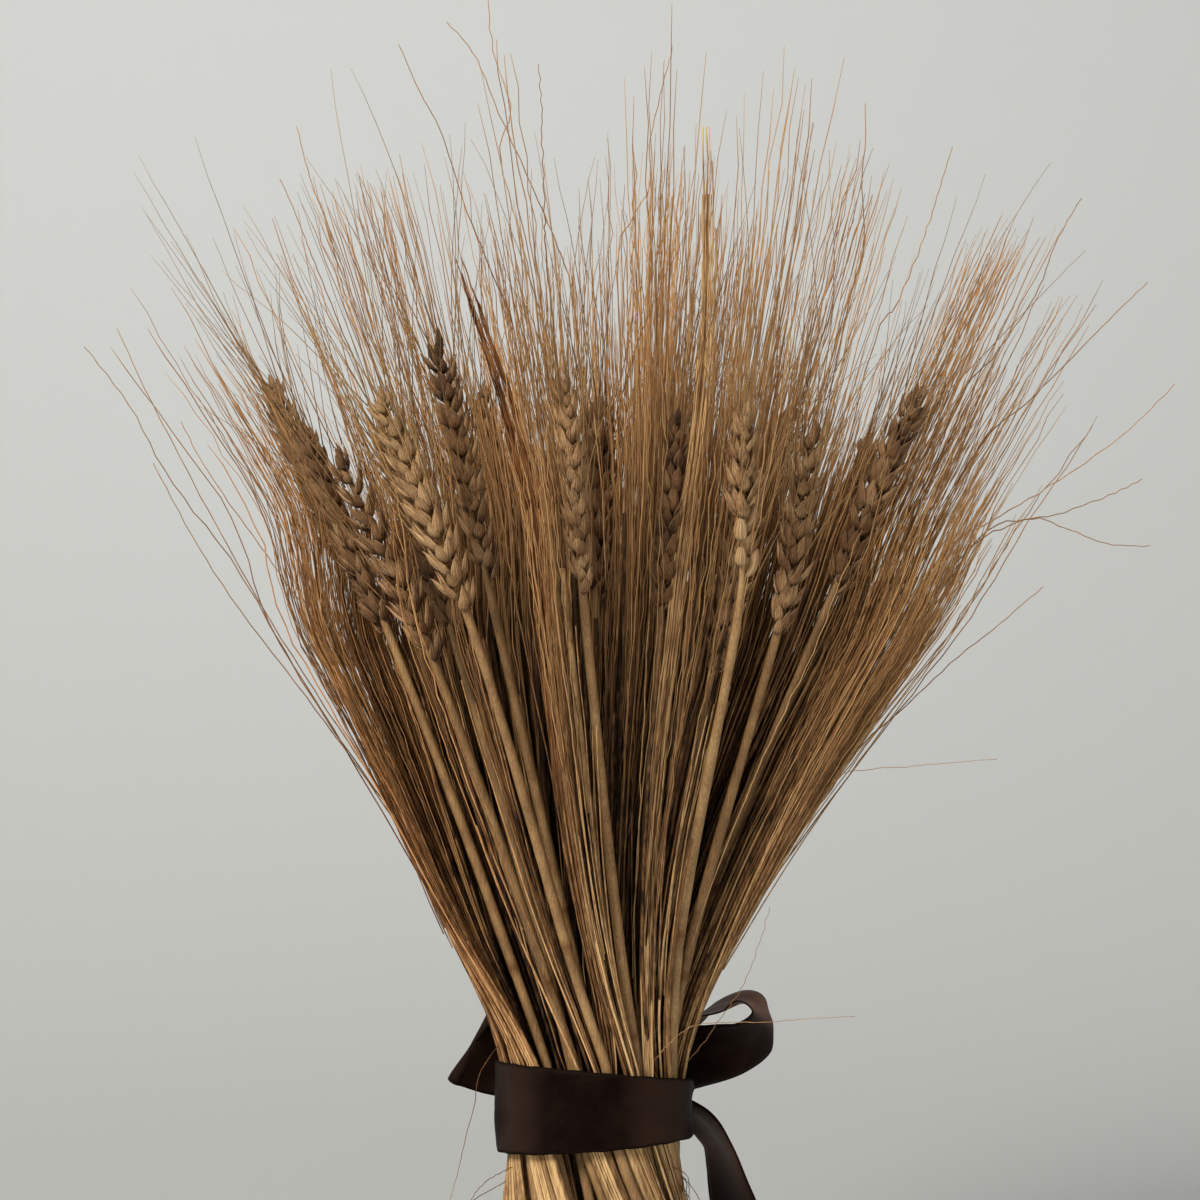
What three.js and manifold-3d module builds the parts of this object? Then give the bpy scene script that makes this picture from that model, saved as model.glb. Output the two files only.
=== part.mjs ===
// A bundle of dried bearded wheat that stands on its cut ends, tied low with a dark satin ribbon.
// Millimetres, +Z up. The origin is on the bundle's axis at the cut ends, and the front faces -Y.
//
// Every stalk and every lock of straw has a cell of its own in the tight oval at the tie. Away from the
// tie the whole oval spreads, upwards into the fan and downwards into the foot, and winds round its axis
// as in a sheaf gathered by hand. Each piece stays inside its own cell, so no two pieces meet.
import * as THREE from "three";
import { mergeVertices } from "three/addons/utils/BufferGeometryUtils.js";
import Module from "manifold-3d";

const wasm = await Module();
wasm.setup();

// Sheaf
const TIE_HEIGHT = 140; // from the cut ends to the middle of the ribbon
const TIE_HALF_WIDTH = 28.5;
const TIE_HALF_DEPTH = 24;
const FAN_REACH = 50; // the smaller it is, the wider the fan opens above the tie
const FOOT_REACH = 70; // the same below the tie
const LAY_TURN = 0.55; // how strongly the straws wind round the sheaf's axis
const LAY_REACH_UP = 35; // the smaller it is, the nearer to the tie they wind
const LAY_REACH_DOWN = 28;
const GAP = 0.3; // clearance between neighbours at the tie

// Straw locks
const LOCK_COUNT = 28;
const LOCK_CELL = 3.7; // half-width of a lock's cell at the tie
const STRAWS_PER_LOCK = 8;
const LEGS_PER_LOCK = 3;
const STRAW_RADIUS = 0.7;
const STRAW_TIP_RADIUS = 0.35;
const STRAW_REACH = [215, 300]; // how far above the tie a straw's tip lies
const LEG_RADIUS = 1.5;
const SHORTEST_EDGE = 1.6; // of a pressed core's outline
const ROOT_DEPTH = 1; // how deep a straw is sunk in the pressed core of its lock
const RIM_DROP = 30; // how much lower a straw at the rim may end
const KINK = 0.12; // how far a bend may leave a straw's line, measured at the tie
const STUB = 16; // a lock's pressed core ends this far above and below the tie's middle

// Wheat stalks
const STALK_CELL = 3.2; // half-width of a stalk's cell at the tie
const STEM_MAX_RADIUS = 2.7; // to its corners, with the leaf sheaths round it
const RACHIS_RADIUS = 1.55; // to its corners, at the ear's foot
const SPIKELETS_PER_EAR = 11;
const AWNED_SPIKELETS = 6; // counted from the ear's top
const SPIKELET_LENGTH = 13;
const SPIKELET_HALF_WIDTH = 3.2;
const SPIKELET_HALF_DEPTH = 2.1;
const SPIKELET_LEAN = 0.42; // radians away from the ear's axis
const AWN_LEAN = 0.11; // sideways per length
const AWN_LENGTH = [46, 70];
const AWN_RADIUS = 0.36;

// Heights above the tie at which stems and straws may bend, the same for all of them
const BENDS = [70, 150];

// One row for each ear: where its stem would pass the tie if the straws didn't wind, how high the ear
// starts above the tie, its length, how far it drifts sideways from its stem's line, and how its two
// ranks are turned.
const EARS = [
  { tie: [-9.5, -12], base: 164, length: 74, drift: [0.1, 0], turn: 0.5 },
  { tie: [-12.6, -18.3], base: 155, length: 66, drift: [-0.8, 0], turn: -0.3 },
  { tie: [-17.6, -11.4], base: 140, length: 66, drift: [-0.6, 0], turn: 0.2 },
  { tie: [-13.8, -5.4], base: 147, length: 62, drift: [-0.3, 0], turn: 0.8 },
  { tie: [-1.0, -18.6], base: 160, length: 66, drift: [-0.5, 0], turn: 0.1 },
  { tie: [11.8, -18.2], base: 149, length: 68, drift: [-0.8, 0], turn: 0.6 },
  { tie: [16.6, -12.2], base: 148, length: 64, drift: [-0.4, 0], turn: -0.3 },
  { tie: [6.2, -10.6], base: 152, length: 64, drift: [-0.4, 0], turn: 1.37 },
  { tie: [0, 0], base: 158, length: 66, drift: [0.3, 0], turn: 0.9 },
  { tie: [12.2, -5.6], base: 136, length: 64, drift: [0, 0], turn: -0.5 },
  { tie: [-20.6, -3], base: 148, length: 66, drift: [0, 0], turn: 1.4 },
  { tie: [-22.4, 5], base: 170, length: 62, drift: [0, 0], turn: 1.2 },
  { tie: [21.8, -3.4], base: 160, length: 66, drift: [0, 0], turn: 0.7 },
  { tie: [20.4, 6.2], base: 146, length: 68, drift: [0, 0.3], turn: 1.4 },
  { tie: [-8.2, 7.6], base: 166, length: 64, drift: [0, 0.2], turn: 0.2 },
  { tie: [6.4, 7.2], base: 150, length: 66, drift: [0.2, 0.2], turn: 1.0 },
  { tie: [-15.8, 12.2], base: 150, length: 70, drift: [-0.4, 0.4], turn: -0.6 },
  { tie: [13.6, 14.2], base: 160, length: 66, drift: [0.3, 0.4], turn: 0.5 },
  { tie: [-3.4, 17.8], base: 146, length: 68, drift: [-0.2, 0.5], turn: 0.6 },
  { tie: [4.6, 18.4], base: 168, length: 62, drift: [0.3, 0.4], turn: -0.4 },
];

const EAR_RISE = 185; // the middle of the ears above the tie

// Straws that leave the fan, each by its tip: to the side, to the front or back, and above the tie.
const STRAYS_PER_LOCK = 2;
const STRAYS = [
  { side: -158, depth: -6, rise: 236 },
  { side: -150, depth: 10, rise: 242 },
  { side: 181, depth: 4, rise: 224 },
  { side: 168, depth: -48, rise: 196 },
  { side: 171, depth: 52, rise: 257 },
  { side: -33, depth: -20, rise: 343 },
  { side: -62, depth: 16, rise: 332 },
  { side: 24, depth: -10, rise: 327 },
  { side: 85, depth: 14, rise: 313 },
  { side: 114, depth: 5, rise: 297 },
  { side: 149, depth: -62, rise: 280 },
  { side: -90, depth: -24, rise: 300 },
  { side: -20, depth: 120, rise: 296 },
  { side: 66, depth: 112, rise: 278 },
  { side: -78, depth: 108, rise: 282 },
];

// Ribbon
const RIBBON_WIDTH = 25;
const RIBBON_THICKNESS = 0.8;
const RIBBON_GAP = 0.5; // between the ribbon and the straw it presses on
const BAND_STEPS = 28;
const BAND_ROWS = 3;
const BAND_TOP = { rise: 11.5, right: -3, back: -4 }; // its edge above the tie, and how that changes
const BAND_BOTTOM = { rise: -12.2, right: 2.6, back: 4 };
const TUCKED_WIDTH = 12.5; // of a strip's end that is tucked in the knot
const KNOT = { x: 1, z: 1, halfWidth: 7.5, halfDepth: 4.6, halfHeight: 8.5 };

// How the locks settle between the stalks at the tie
const SETTLE_ROUNDS = 600;
const SETTLE_STEP = 0.12;
const SETTLE_DISTANCE = 1.1; // between neighbours, in their half-widths

const OUTLINE_STEPS = 20; // sides of the tie's oval
const MERGE_DISTANCE = 1e-3; // vertices this near each other are one

const COLOURS = {
  stalk: 0xb98a4a,
  straw: 0x9a6a3a,
  ribbon: 0x2a1a14,
};

// A seeded random number from 0 to 1, the same in every run.
function seededRandom(seed) {
  let state = seed;
  return () => {
    state = (state + 0x6d2b79f5) | 0;
    let mixed = Math.imul(state ^ (state >>> 15), 1 | state);
    mixed = (mixed + Math.imul(mixed ^ (mixed >>> 7), 61 | mixed)) ^ mixed;
    return ((mixed ^ (mixed >>> 14)) >>> 0) / 4294967296;
  };
}

// How many times wider than at the tie the sheaf is at height z.
function spread(z) {
  const rise = z - TIE_HEIGHT;
  return Math.hypot(1, rise / (rise > 0 ? FAN_REACH : FOOT_REACH));
}

// How far the straws have wound round the axis at height z. The pressed cores stand straight.
function layTurn(z) {
  const rise = z - TIE_HEIGHT;
  const past = Math.max(0, Math.abs(rise) - STUB);
  return -Math.sign(rise) * LAY_TURN * Math.atan(past / (rise > 0 ? LAY_REACH_UP : LAY_REACH_DOWN));
}

// A place in the tie's oval, turned round its middle by an angle.
function turned(x, y, angle) {
  const across = x / TIE_HALF_WIDTH;
  const deep = y / TIE_HALF_DEPTH;
  return [
    (across * Math.cos(angle) - deep * Math.sin(angle)) * TIE_HALF_WIDTH,
    (across * Math.sin(angle) + deep * Math.cos(angle)) * TIE_HALF_DEPTH,
  ];
}

// A point of the tie's oval, carried out to height z.
function outFromTie(x, y, z) {
  const s = spread(z);
  const [side, depth] = turned(x, y, layTurn(z));
  return new THREE.Vector3(side * s, depth * s, z);
}

const mix = THREE.MathUtils.lerp;

// A closed surface over rings of points, counter-clockwise seen from the last ring. An end ring may be
// a single point.
function loft(rings) {
  const corners = [];
  const add = (...points) => points.forEach((p) => corners.push(p.x, p.y, p.z));
  const first = rings[0];
  const last = rings[rings.length - 1];
  for (let i = 1; i < first.length - 1; i++) add(first[0], first[i + 1], first[i]);
  for (let i = 1; i < last.length - 1; i++) add(last[0], last[i], last[i + 1]);
  for (let r = 1; r < rings.length; r++) {
    const low = rings[r - 1];
    const high = rings[r];
    const sides = Math.max(low.length, high.length);
    for (let i = 0; i < sides; i++) {
      const next = (i + 1) % sides;
      if (low.length === 1) add(low[0], high[next], high[i]);
      else if (high.length === 1) add(low[i], low[next], high[0]);
      else {
        add(low[i], low[next], high[next]);
        add(low[i], high[next], high[i]);
      }
    }
  }
  const geometry = new THREE.BufferGeometry();
  geometry.setAttribute("position", new THREE.Float32BufferAttribute(corners, 3));
  return geometry;
}

// A level ring of the given number of sides round a point.
function levelRing(centre, radius, sides, turn = 0) {
  return Array.from({ length: sides }, (_, i) => {
    const angle = turn + (2 * Math.PI * i) / sides;
    return new THREE.Vector3(Math.cos(angle) * radius, Math.sin(angle) * radius, 0).add(centre);
  });
}

// A ring of four corners in the plane of two directions.
function diamondRing(centre, across, acrossHalf, up, upHalf) {
  return [
    centre.clone().addScaledVector(across, acrossHalf),
    centre.clone().addScaledVector(up, upHalf),
    centre.clone().addScaledVector(across, -acrossHalf),
    centre.clone().addScaledVector(up, -upHalf),
  ];
}

function solidOf(geometry) {
  const merged = mergeVertices(geometry, MERGE_DISTANCE);
  const solid = new wasm.Manifold(
    new wasm.Mesh({
      numProp: 3,
      vertProperties: merged.attributes.position.array,
      triVerts: new Uint32Array(merged.index.array),
    }),
  );
  if (solid.volume() <= 0) throw new Error("a piece is inside out");
  return solid;
}

// The outer skin of a solid, without hollows sealed inside it.
function skinOf(solid) {
  return solid.decompose().reduce((whole, body) => (body.volume() > whole.volume() ? body : whole));
}

function geometryOf(solid) {
  const { numProp, vertProperties, triVerts } = solid.getMesh();
  const positions = [];
  for (let i = 0; i < vertProperties.length; i += numProp) {
    positions.push(vertProperties[i], vertProperties[i + 1], vertProperties[i + 2]);
  }
  const geometry = new THREE.BufferGeometry();
  geometry.setAttribute("position", new THREE.Float32BufferAttribute(positions, 3));
  geometry.setIndex(new THREE.BufferAttribute(triVerts, 1));
  return geometry;
}

// Everything joined into one body. Its shortest edges close up when its vertices are merged again, and
// may then seal a last hollow, so the skin is taken twice.
function fuse(geometries) {
  const joined = geometries.map(solidOf).reduce((all, next) => all.add(next));
  return skinOf(solidOf(geometryOf(skinOf(joined)).toNonIndexed()));
}

// The mesh of one node, from its fused solid.
function meshOf(name, solid, material) {
  const geometry = geometryOf(solid);
  geometry.computeVertexNormals();
  const mesh = new THREE.Mesh(geometry, material);
  mesh.name = name;
  return mesh;
}

// Cells at the tie: the stalks' places are given, and the locks settle between them.
function settleCells() {
  const random = seededRandom(11);
  const unwound = -layTurn(TIE_HEIGHT + EAR_RISE);
  const cells = EARS.map((ear) => {
    const [x, y] = turned(...ear.tie, unwound);
    return { x, y, size: STALK_CELL, fixed: true, drift: turned(...ear.drift, unwound) };
  });
  const goldenAngle = Math.PI * (3 - Math.sqrt(5));
  for (let i = 0; i < LOCK_COUNT; i++) {
    const radius = Math.sqrt((i + 0.5) / LOCK_COUNT);
    cells.push({
      x: radius * Math.cos(i * goldenAngle) * TIE_HALF_WIDTH + random() - 0.5,
      y: radius * Math.sin(i * goldenAngle) * TIE_HALF_DEPTH + random() - 0.5,
      size: LOCK_CELL,
      fixed: false,
    });
  }
  for (let round = 0; round < SETTLE_ROUNDS; round++) {
    for (const cell of cells) {
      if (cell.fixed) continue;
      for (const other of cells) {
        if (other === cell) continue;
        const dx = cell.x - other.x;
        const dy = cell.y - other.y;
        const apart = Math.hypot(dx, dy) || 0.01;
        const wanted = (cell.size + other.size) * SETTLE_DISTANCE;
        const push = Math.max(0, wanted - apart) * SETTLE_STEP;
        cell.x += (dx / apart) * push;
        cell.y += (dy / apart) * push;
      }
      const rim = Math.hypot(cell.x / (TIE_HALF_WIDTH - cell.size), cell.y / (TIE_HALF_DEPTH - cell.size));
      if (rim > 1) {
        cell.x /= rim;
        cell.y /= rim;
      }
    }
  }
  return cells;
}

// The part of a convex outline where normal . p <= limit.
function clip(outline, nx, ny, limit) {
  const kept = [];
  outline.forEach((p, i) => {
    const q = outline[(i + 1) % outline.length];
    const before = nx * p.x + ny * p.y - limit;
    const after = nx * q.x + ny * q.y - limit;
    if (before <= 0) kept.push(p);
    if (before < 0 !== after < 0 && before !== after) {
      const t = before / (before - after);
      kept.push({ x: mix(p.x, q.x, t), y: mix(p.y, q.y, t) });
    }
  });
  return kept;
}

// A cell's outline: the oval of the tie, cut half-way to each neighbour, the larger cell keeping more.
function outlineOf(cell, cells) {
  let outline = Array.from({ length: OUTLINE_STEPS }, (_, i) => ({
    x: TIE_HALF_WIDTH * Math.cos((2 * Math.PI * i) / OUTLINE_STEPS),
    y: TIE_HALF_DEPTH * Math.sin((2 * Math.PI * i) / OUTLINE_STEPS),
  }));
  for (const other of cells) {
    if (other === cell) continue;
    const dx = other.x - cell.x;
    const dy = other.y - cell.y;
    const apart = Math.hypot(dx, dy);
    const share = (apart * apart + cell.size ** 2 - other.size ** 2) / (2 * apart);
    const nx = dx / apart;
    const ny = dy / apart;
    outline = clip(outline, nx, ny, nx * cell.x + ny * cell.y + share - GAP / 2);
  }
  return outline;
}

// How far a cell reaches from its centre in one direction.
function reachOf(cell, angle) {
  const dx = Math.cos(angle);
  const dy = Math.sin(angle);
  let reach = Infinity;
  cell.outline.forEach((p, i) => {
    const q = cell.outline[(i + 1) % cell.outline.length];
    const nx = q.y - p.y;
    const ny = p.x - q.x;
    const towards = nx * dx + ny * dy;
    if (towards > 1e-9) {
      reach = Math.min(reach, (nx * (p.x - cell.x) + ny * (p.y - cell.y)) / towards);
    }
  });
  return reach;
}

const cells = settleCells();
cells.forEach((cell) => {
  cell.outline = outlineOf(cell, cells);
});

// One thin three-sided straw through the given points, ending in a fine tip.
function thinStraw(points, turn) {
  const last = points.length - 1;
  const rings = points.map((point, i) => {
    const radius = mix(STRAW_RADIUS, STRAW_TIP_RADIUS, i / last);
    return i === last ? [point] : levelRing(point, radius, 3, turn);
  });
  return loft(rings);
}

// Where a straw that leaves its lock's pressed core towards a point has its root inside the core.
function sunkRoot(edge, towards) {
  return edge.clone().lerp(towards, -ROOT_DEPTH / Math.abs(towards.z - edge.z));
}

// The pressed core of a lock, filling its cell where the ribbon holds it, but for the shortest edges.
function lockCore(cell) {
  const outline = cell.outline.filter((p, i) => {
    const q = cell.outline[(i + 1) % cell.outline.length];
    return Math.hypot(p.x - q.x, p.y - q.y) > SHORTEST_EDGE;
  });
  const heights = [-STUB, 0, STUB].map((rise) => TIE_HEIGHT + rise);
  return loft(heights.map((z) => outline.map((p) => outFromTie(p.x, p.y, z))));
}

function strawLock(cell, strays, seed) {
  const random = seededRandom(seed);
  const pieces = [lockCore(cell)];
  const offAxis = Math.hypot(cell.x / TIE_HALF_WIDTH, cell.y / TIE_HALF_DEPTH);

  for (let i = 0; i < STRAWS_PER_LOCK; i++) {
    const angle = ((i + random() * 0.5) * 2 * Math.PI) / (STRAWS_PER_LOCK - 1) + seed;
    const reach = reachOf(cell, angle);
    const rootFill = i === 0 ? 0 : 0.52 + 0.16 * random();
    const tipFill = i === 0 ? 0.2 : 0.4 + 0.4 * random();
    const stray = strays[i];
    const rise = mix(...STRAW_REACH, random()) - RIM_DROP * offAxis * random();
    const heights = [STUB, ...BENDS].map((bend) => TIE_HEIGHT + bend);
    heights.push(TIE_HEIGHT + (stray ? stray.rise : rise));
    const kinks = heights.map(() => mix(-KINK, KINK, random()));
    const place = (z, bend) => {
      const along = bend / (heights.length - 1);
      const fill = mix(rootFill, tipFill, along) * reach;
      const kink = bend > 0 ? kinks[bend] : 0;
      const x = cell.x + Math.cos(angle) * fill + kink;
      const y = cell.y + Math.sin(angle) * fill - kink;
      const inside = outFromTie(x, y, z);
      return stray ? inside.lerp(new THREE.Vector3(stray.side, stray.depth, z), along ** 3) : inside;
    };
    const points = heights.map(place);
    points[0] = sunkRoot(points[0], points[1]);
    pieces.push(thinStraw(points, random() * Math.PI));
  }

  for (let i = 0; i < LEGS_PER_LOCK; i++) {
    const angle = ((i + random() * 0.4) * 2 * Math.PI) / LEGS_PER_LOCK + seed;
    const out = reachOf(cell, angle) - LEG_RADIUS - GAP;
    const x = cell.x + Math.cos(angle) * out;
    const y = cell.y + Math.sin(angle) * out;
    const foot = outFromTie(x, y, 0);
    const root = sunkRoot(outFromTie(x, y, TIE_HEIGHT - STUB), foot);
    pieces.push(loft([foot, root].map((point) => levelRing(point, LEG_RADIUS, 3, angle))));
  }
  return fuse(pieces);
}

// One spikelet from its root on the rachis, with an awn if its length isn't 0.
function spikelet(root, axis, rank, lean, length, awnLength) {
  const out = axis.clone().multiplyScalar(Math.cos(lean)).addScaledVector(rank, Math.sin(lean));
  const across = new THREE.Vector3().crossVectors(rank, out).normalize();
  const up = new THREE.Vector3().crossVectors(out, across).normalize();
  const at = (t) => root.clone().addScaledVector(out, length * t);
  const ringAt = (t, size) => {
    return diamondRing(at(t), across, SPIKELET_HALF_WIDTH * size, up, SPIKELET_HALF_DEPTH * size);
  };
  const body = [[at(0)], ringAt(0.42, 1), ringAt(0.74, 0.8)];
  if (!awnLength) return loft([...body, [at(1)]]);
  const neck = diamondRing(at(1), across, AWN_RADIUS, up, AWN_RADIUS);
  const awn = axis.clone().addScaledVector(rank, AWN_LEAN).multiplyScalar(awnLength);
  return loft([...body, neck, [at(1).add(awn)]]);
}

function wheatStalk(ear, cell, seed) {
  const random = seededRandom(seed);
  const earFoot = TIE_HEIGHT + ear.base;
  const earTop = earFoot + ear.length;
  // Square sections, with two of their faces towards the two ranks of spikelets.
  const corner = ear.turn + Math.PI / 4;
  const corners = [0, 1, 2, 3].map((quarter) => reachOf(cell, corner + (quarter * Math.PI) / 2));
  const stemRadius = Math.min(STEM_MAX_RADIUS, ...corners);
  const centre = (z) => {
    const along = Math.max(0, (z - TIE_HEIGHT) / (earTop - TIE_HEIGHT));
    return outFromTie(cell.x + cell.drift[0] * along, cell.y + cell.drift[1] * along, z);
  };
  const rachisTop = earTop - SPIKELET_LENGTH / 2;
  const stem = [
    [0, stemRadius],
    [TIE_HEIGHT - STUB, stemRadius],
    [TIE_HEIGHT, stemRadius],
    [TIE_HEIGHT + STUB, stemRadius],
    [TIE_HEIGHT + BENDS[0], mix(stemRadius, RACHIS_RADIUS, 0.7)],
    [earFoot, RACHIS_RADIUS],
    [rachisTop, RACHIS_RADIUS * 0.7],
  ];
  const pieces = [loft(stem.map(([z, radius]) => levelRing(centre(z), radius, 4, corner)))];

  for (let i = 0; i < SPIKELETS_PER_EAR; i++) {
    const fromTop = SPIKELETS_PER_EAR - 1 - i;
    const t = i / (SPIKELETS_PER_EAR - 1);
    const z = mix(earFoot + 1, earTop - SPIKELET_LENGTH, t);
    const axis = centre(z + 5).sub(centre(z - 5)).normalize();
    const level = new THREE.Vector3(Math.cos(ear.turn), Math.sin(ear.turn), 0);
    const rank = level.addScaledVector(axis, -level.dot(axis)).normalize();
    if (i % 2) rank.negate();
    const lean = fromTop === 0 ? 0.04 : SPIKELET_LEAN;
    const length = SPIKELET_LENGTH * (1 - 0.2 * Math.abs(2 * t - 0.9) ** 2);
    const awnLength = fromTop < AWNED_SPIKELETS ? mix(...AWN_LENGTH, random()) : 0;
    const root = centre(z).addScaledVector(rank, fromTop === 0 ? 0 : RACHIS_RADIUS * 0.3);
    pieces.push(spikelet(root, axis, rank, lean, length, awnLength));
  }
  return fuse(pieces);
}

// A strip of ribbon along its middle line, with the direction of its width given at each point.
function strip(stations) {
  const middle = new THREE.CatmullRomCurve3(stations.map((s) => new THREE.Vector3(...s.at)));
  const widths = new THREE.CatmullRomCurve3(stations.map((s) => new THREE.Vector3(...s.across)));
  const steps = Math.round((stations.length - 1) * 1.6);
  const rings = [];
  for (let i = 0; i <= steps; i++) {
    const t = i / steps;
    const centre = middle.getPoint(t);
    const along = middle.getTangent(t);
    const across = widths.getPoint(t).normalize();
    const face = new THREE.Vector3().crossVectors(along, across).normalize();
    const tucked = i === 0 || (i === steps && stations.at(-1).tucked);
    const w = (tucked ? TUCKED_WIDTH : RIBBON_WIDTH) / 2;
    const h = RIBBON_THICKNESS / 2;
    const corner = (u, v) => centre.clone().addScaledVector(across, u).addScaledVector(face, v);
    rings.push([corner(w, h), corner(-w, h), corner(-w, -h), corner(w, -h)]);
  }
  return loft(rings);
}

// The band round the sheaf: widest at the left, gathered towards the knot at the back. It follows the
// straight flare of the pressed cores.
function ribbonBand() {
  const inner = [];
  const outer = [];
  for (let i = 0; i < BAND_STEPS; i++) {
    const angle = (2 * Math.PI * i) / BAND_STEPS;
    const back = Math.max(0, Math.sin(angle));
    const right = Math.cos(angle);
    const top = BAND_TOP.rise + BAND_TOP.right * right + BAND_TOP.back * back;
    const bottom = BAND_BOTTOM.rise + BAND_BOTTOM.right * right + BAND_BOTTOM.back * back;
    const column = (clearance) =>
      Array.from({ length: BAND_ROWS }, (_, k) => {
        const rise = mix(bottom, top, k / (BAND_ROWS - 1));
        const z = TIE_HEIGHT + rise;
        const s = mix(1, spread(TIE_HEIGHT + Math.sign(rise) * STUB), Math.abs(rise) / STUB);
        return new THREE.Vector3(
          Math.cos(angle) * (TIE_HALF_WIDTH * s + clearance),
          Math.sin(angle) * (TIE_HALF_DEPTH * s + clearance),
          z,
        );
      });
    inner.push(column(RIBBON_GAP));
    outer.push(column(RIBBON_GAP + RIBBON_THICKNESS));
  }
  const corners = [];
  const add = (...points) => points.forEach((p) => corners.push(p.x, p.y, p.z));
  const quad = (a, b, c, d) => {
    add(a, b, c);
    add(a, c, d);
  };
  for (let i = 0; i < BAND_STEPS; i++) {
    const j = (i + 1) % BAND_STEPS;
    for (let k = 0; k < BAND_ROWS - 1; k++) {
      quad(outer[i][k], outer[j][k], outer[j][k + 1], outer[i][k + 1]);
      quad(inner[i][k], inner[i][k + 1], inner[j][k + 1], inner[j][k]);
    }
    quad(inner[i][0], inner[j][0], outer[j][0], outer[i][0]);
    const top = BAND_ROWS - 1;
    quad(outer[i][top], outer[j][top], inner[j][top], inner[i][top]);
  }
  const geometry = new THREE.BufferGeometry();
  geometry.setAttribute("position", new THREE.Float32BufferAttribute(corners, 3));
  return geometry;
}

const KNOT_Y = TIE_HALF_DEPTH + RIBBON_GAP + RIBBON_THICKNESS + KNOT.halfDepth - 0.5;

function ribbonKnot() {
  const knot = new THREE.SphereGeometry(1, 8, 6);
  knot.deleteAttribute("normal");
  knot.deleteAttribute("uv");
  knot.scale(KNOT.halfWidth, KNOT.halfDepth, KNOT.halfHeight);
  knot.translate(KNOT.x, KNOT_Y, TIE_HEIGHT + KNOT.z);
  return knot;
}

const at = (x, y, rise) => [x, y, TIE_HEIGHT + rise];
const UPRIGHT = [0, 0, 1];

function rightLoop() {
  return strip([
    { at: at(KNOT.x + 2, KNOT_Y - 1, 2), across: UPRIGHT },
    { at: at(19, KNOT_Y + 1, 7), across: [-0.1, -0.1, 1] },
    { at: at(34, 22, 12), across: [-0.25, -0.25, 0.93] },
    { at: at(47, 14, 16), across: [-0.4, -0.3, 0.87] },
    { at: at(55, 13, 24), across: [-0.55, -0.75, 0.4] },
    { at: at(48, 19, 31), across: [-0.2, -0.95, 0.1] },
    { at: at(34, 26, 29), across: [-0.1, -0.95, 0.15] },
    { at: at(19, KNOT_Y + 6, 17), across: [0, -0.8, 0.6] },
    { at: at(KNOT.x + 3, KNOT_Y + 1, 4), across: [0, -0.2, 1], tucked: true },
  ]);
}

function leftLoop() {
  return strip([
    { at: at(KNOT.x - 2, KNOT_Y - 1, 2), across: UPRIGHT },
    { at: at(-17, KNOT_Y + 0.5, 7), across: [0.1, 0, 1] },
    { at: at(-30, 21, 11), across: [0.3, 0, 0.93] },
    { at: at(-39, 14.5, 15.5), across: [0.51, 0, 0.86] },
    { at: at(-37, 19.5, 16), across: [0.51, 0, 0.86] },
    { at: at(-28, 27, 13), across: [0.3, 0, 0.95] },
    { at: at(-16, KNOT_Y + 5, 9), across: [0.1, 0, 1] },
    { at: at(KNOT.x - 3, KNOT_Y + 1, 4), across: UPRIGHT, tucked: true },
  ]);
}

function rightTail() {
  return strip([
    { at: at(KNOT.x + 2, KNOT_Y - 0.5, -1), across: UPRIGHT },
    { at: at(18, KNOT_Y + 1, -5), across: [0.25, 0, 0.97] },
    { at: at(31, 24, -10), across: [0.5, 0, 0.87] },
    { at: at(40, 20, -20), across: [0.85, -0.3, 0.45] },
    { at: at(47, 20, -36), across: [0.85, -0.45, 0.2] },
    { at: at(51, 24, -60), across: [0.8, -0.6, 0.1] },
    { at: at(57, 29, -86), across: [0.75, -0.65, 0.1] },
  ]);
}

function leftTail() {
  return strip([
    { at: at(KNOT.x - 2, KNOT_Y - 0.5, -2), across: [1, 0, 0.3] },
    { at: at(-6, KNOT_Y + 4, -14), across: [1, 0, 0.25] },
    { at: at(-11, KNOT_Y + 6, -34), across: [1, 0.15, 0.2] },
    { at: at(-14, 44, -62), across: [1, 0.2, 0.15] },
    { at: at(-18, 49, -90), across: [1, 0.25, 0.15] },
  ]);
}

const stalkMaterial = new THREE.MeshStandardMaterial({ color: COLOURS.stalk, roughness: 0.65, metalness: 0 });
const strawMaterial = new THREE.MeshStandardMaterial({ color: COLOURS.straw, roughness: 0.7, metalness: 0 });
const ribbonMaterial = new THREE.MeshStandardMaterial({ color: COLOURS.ribbon, roughness: 0.4, metalness: 0 });

const numbered = (name, index) => `${name}_${String(index + 1).padStart(2, "0")}`;

const bundle = new THREE.Group();
bundle.name = "dried_wheat_bundle";

EARS.forEach((ear, i) => {
  const solid = wheatStalk(ear, cells[i], 100 + i);
  bundle.add(meshOf(numbered("wheat_stalk", i), solid, stalkMaterial.clone()));
});

// Each stray grows from the lock whose line runs nearest to its tip.
const locks = cells.slice(EARS.length).map((cell) => ({ cell, strays: [] }));
for (const stray of STRAYS) {
  const tip = new THREE.Vector3(stray.side, stray.depth, TIE_HEIGHT + stray.rise);
  const distance = ({ cell }) => outFromTie(cell.x, cell.y, tip.z).distanceTo(tip);
  const nearest = locks
    .filter((lock) => lock.strays.length < STRAYS_PER_LOCK)
    .reduce((best, lock) => (distance(lock) < distance(best) ? lock : best));
  nearest.strays.push(stray);
}
locks.forEach((lock, i) => {
  const solid = strawLock(lock.cell, lock.strays, 200 + i);
  bundle.add(meshOf(numbered("straw_lock", i), solid, strawMaterial.clone()));
});

const ribbon = fuse([ribbonBand(), ribbonKnot(), rightLoop(), leftLoop(), rightTail(), leftTail()]);
bundle.add(meshOf("satin_ribbon", ribbon, ribbonMaterial));

export default bundle;
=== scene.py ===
import math

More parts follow.
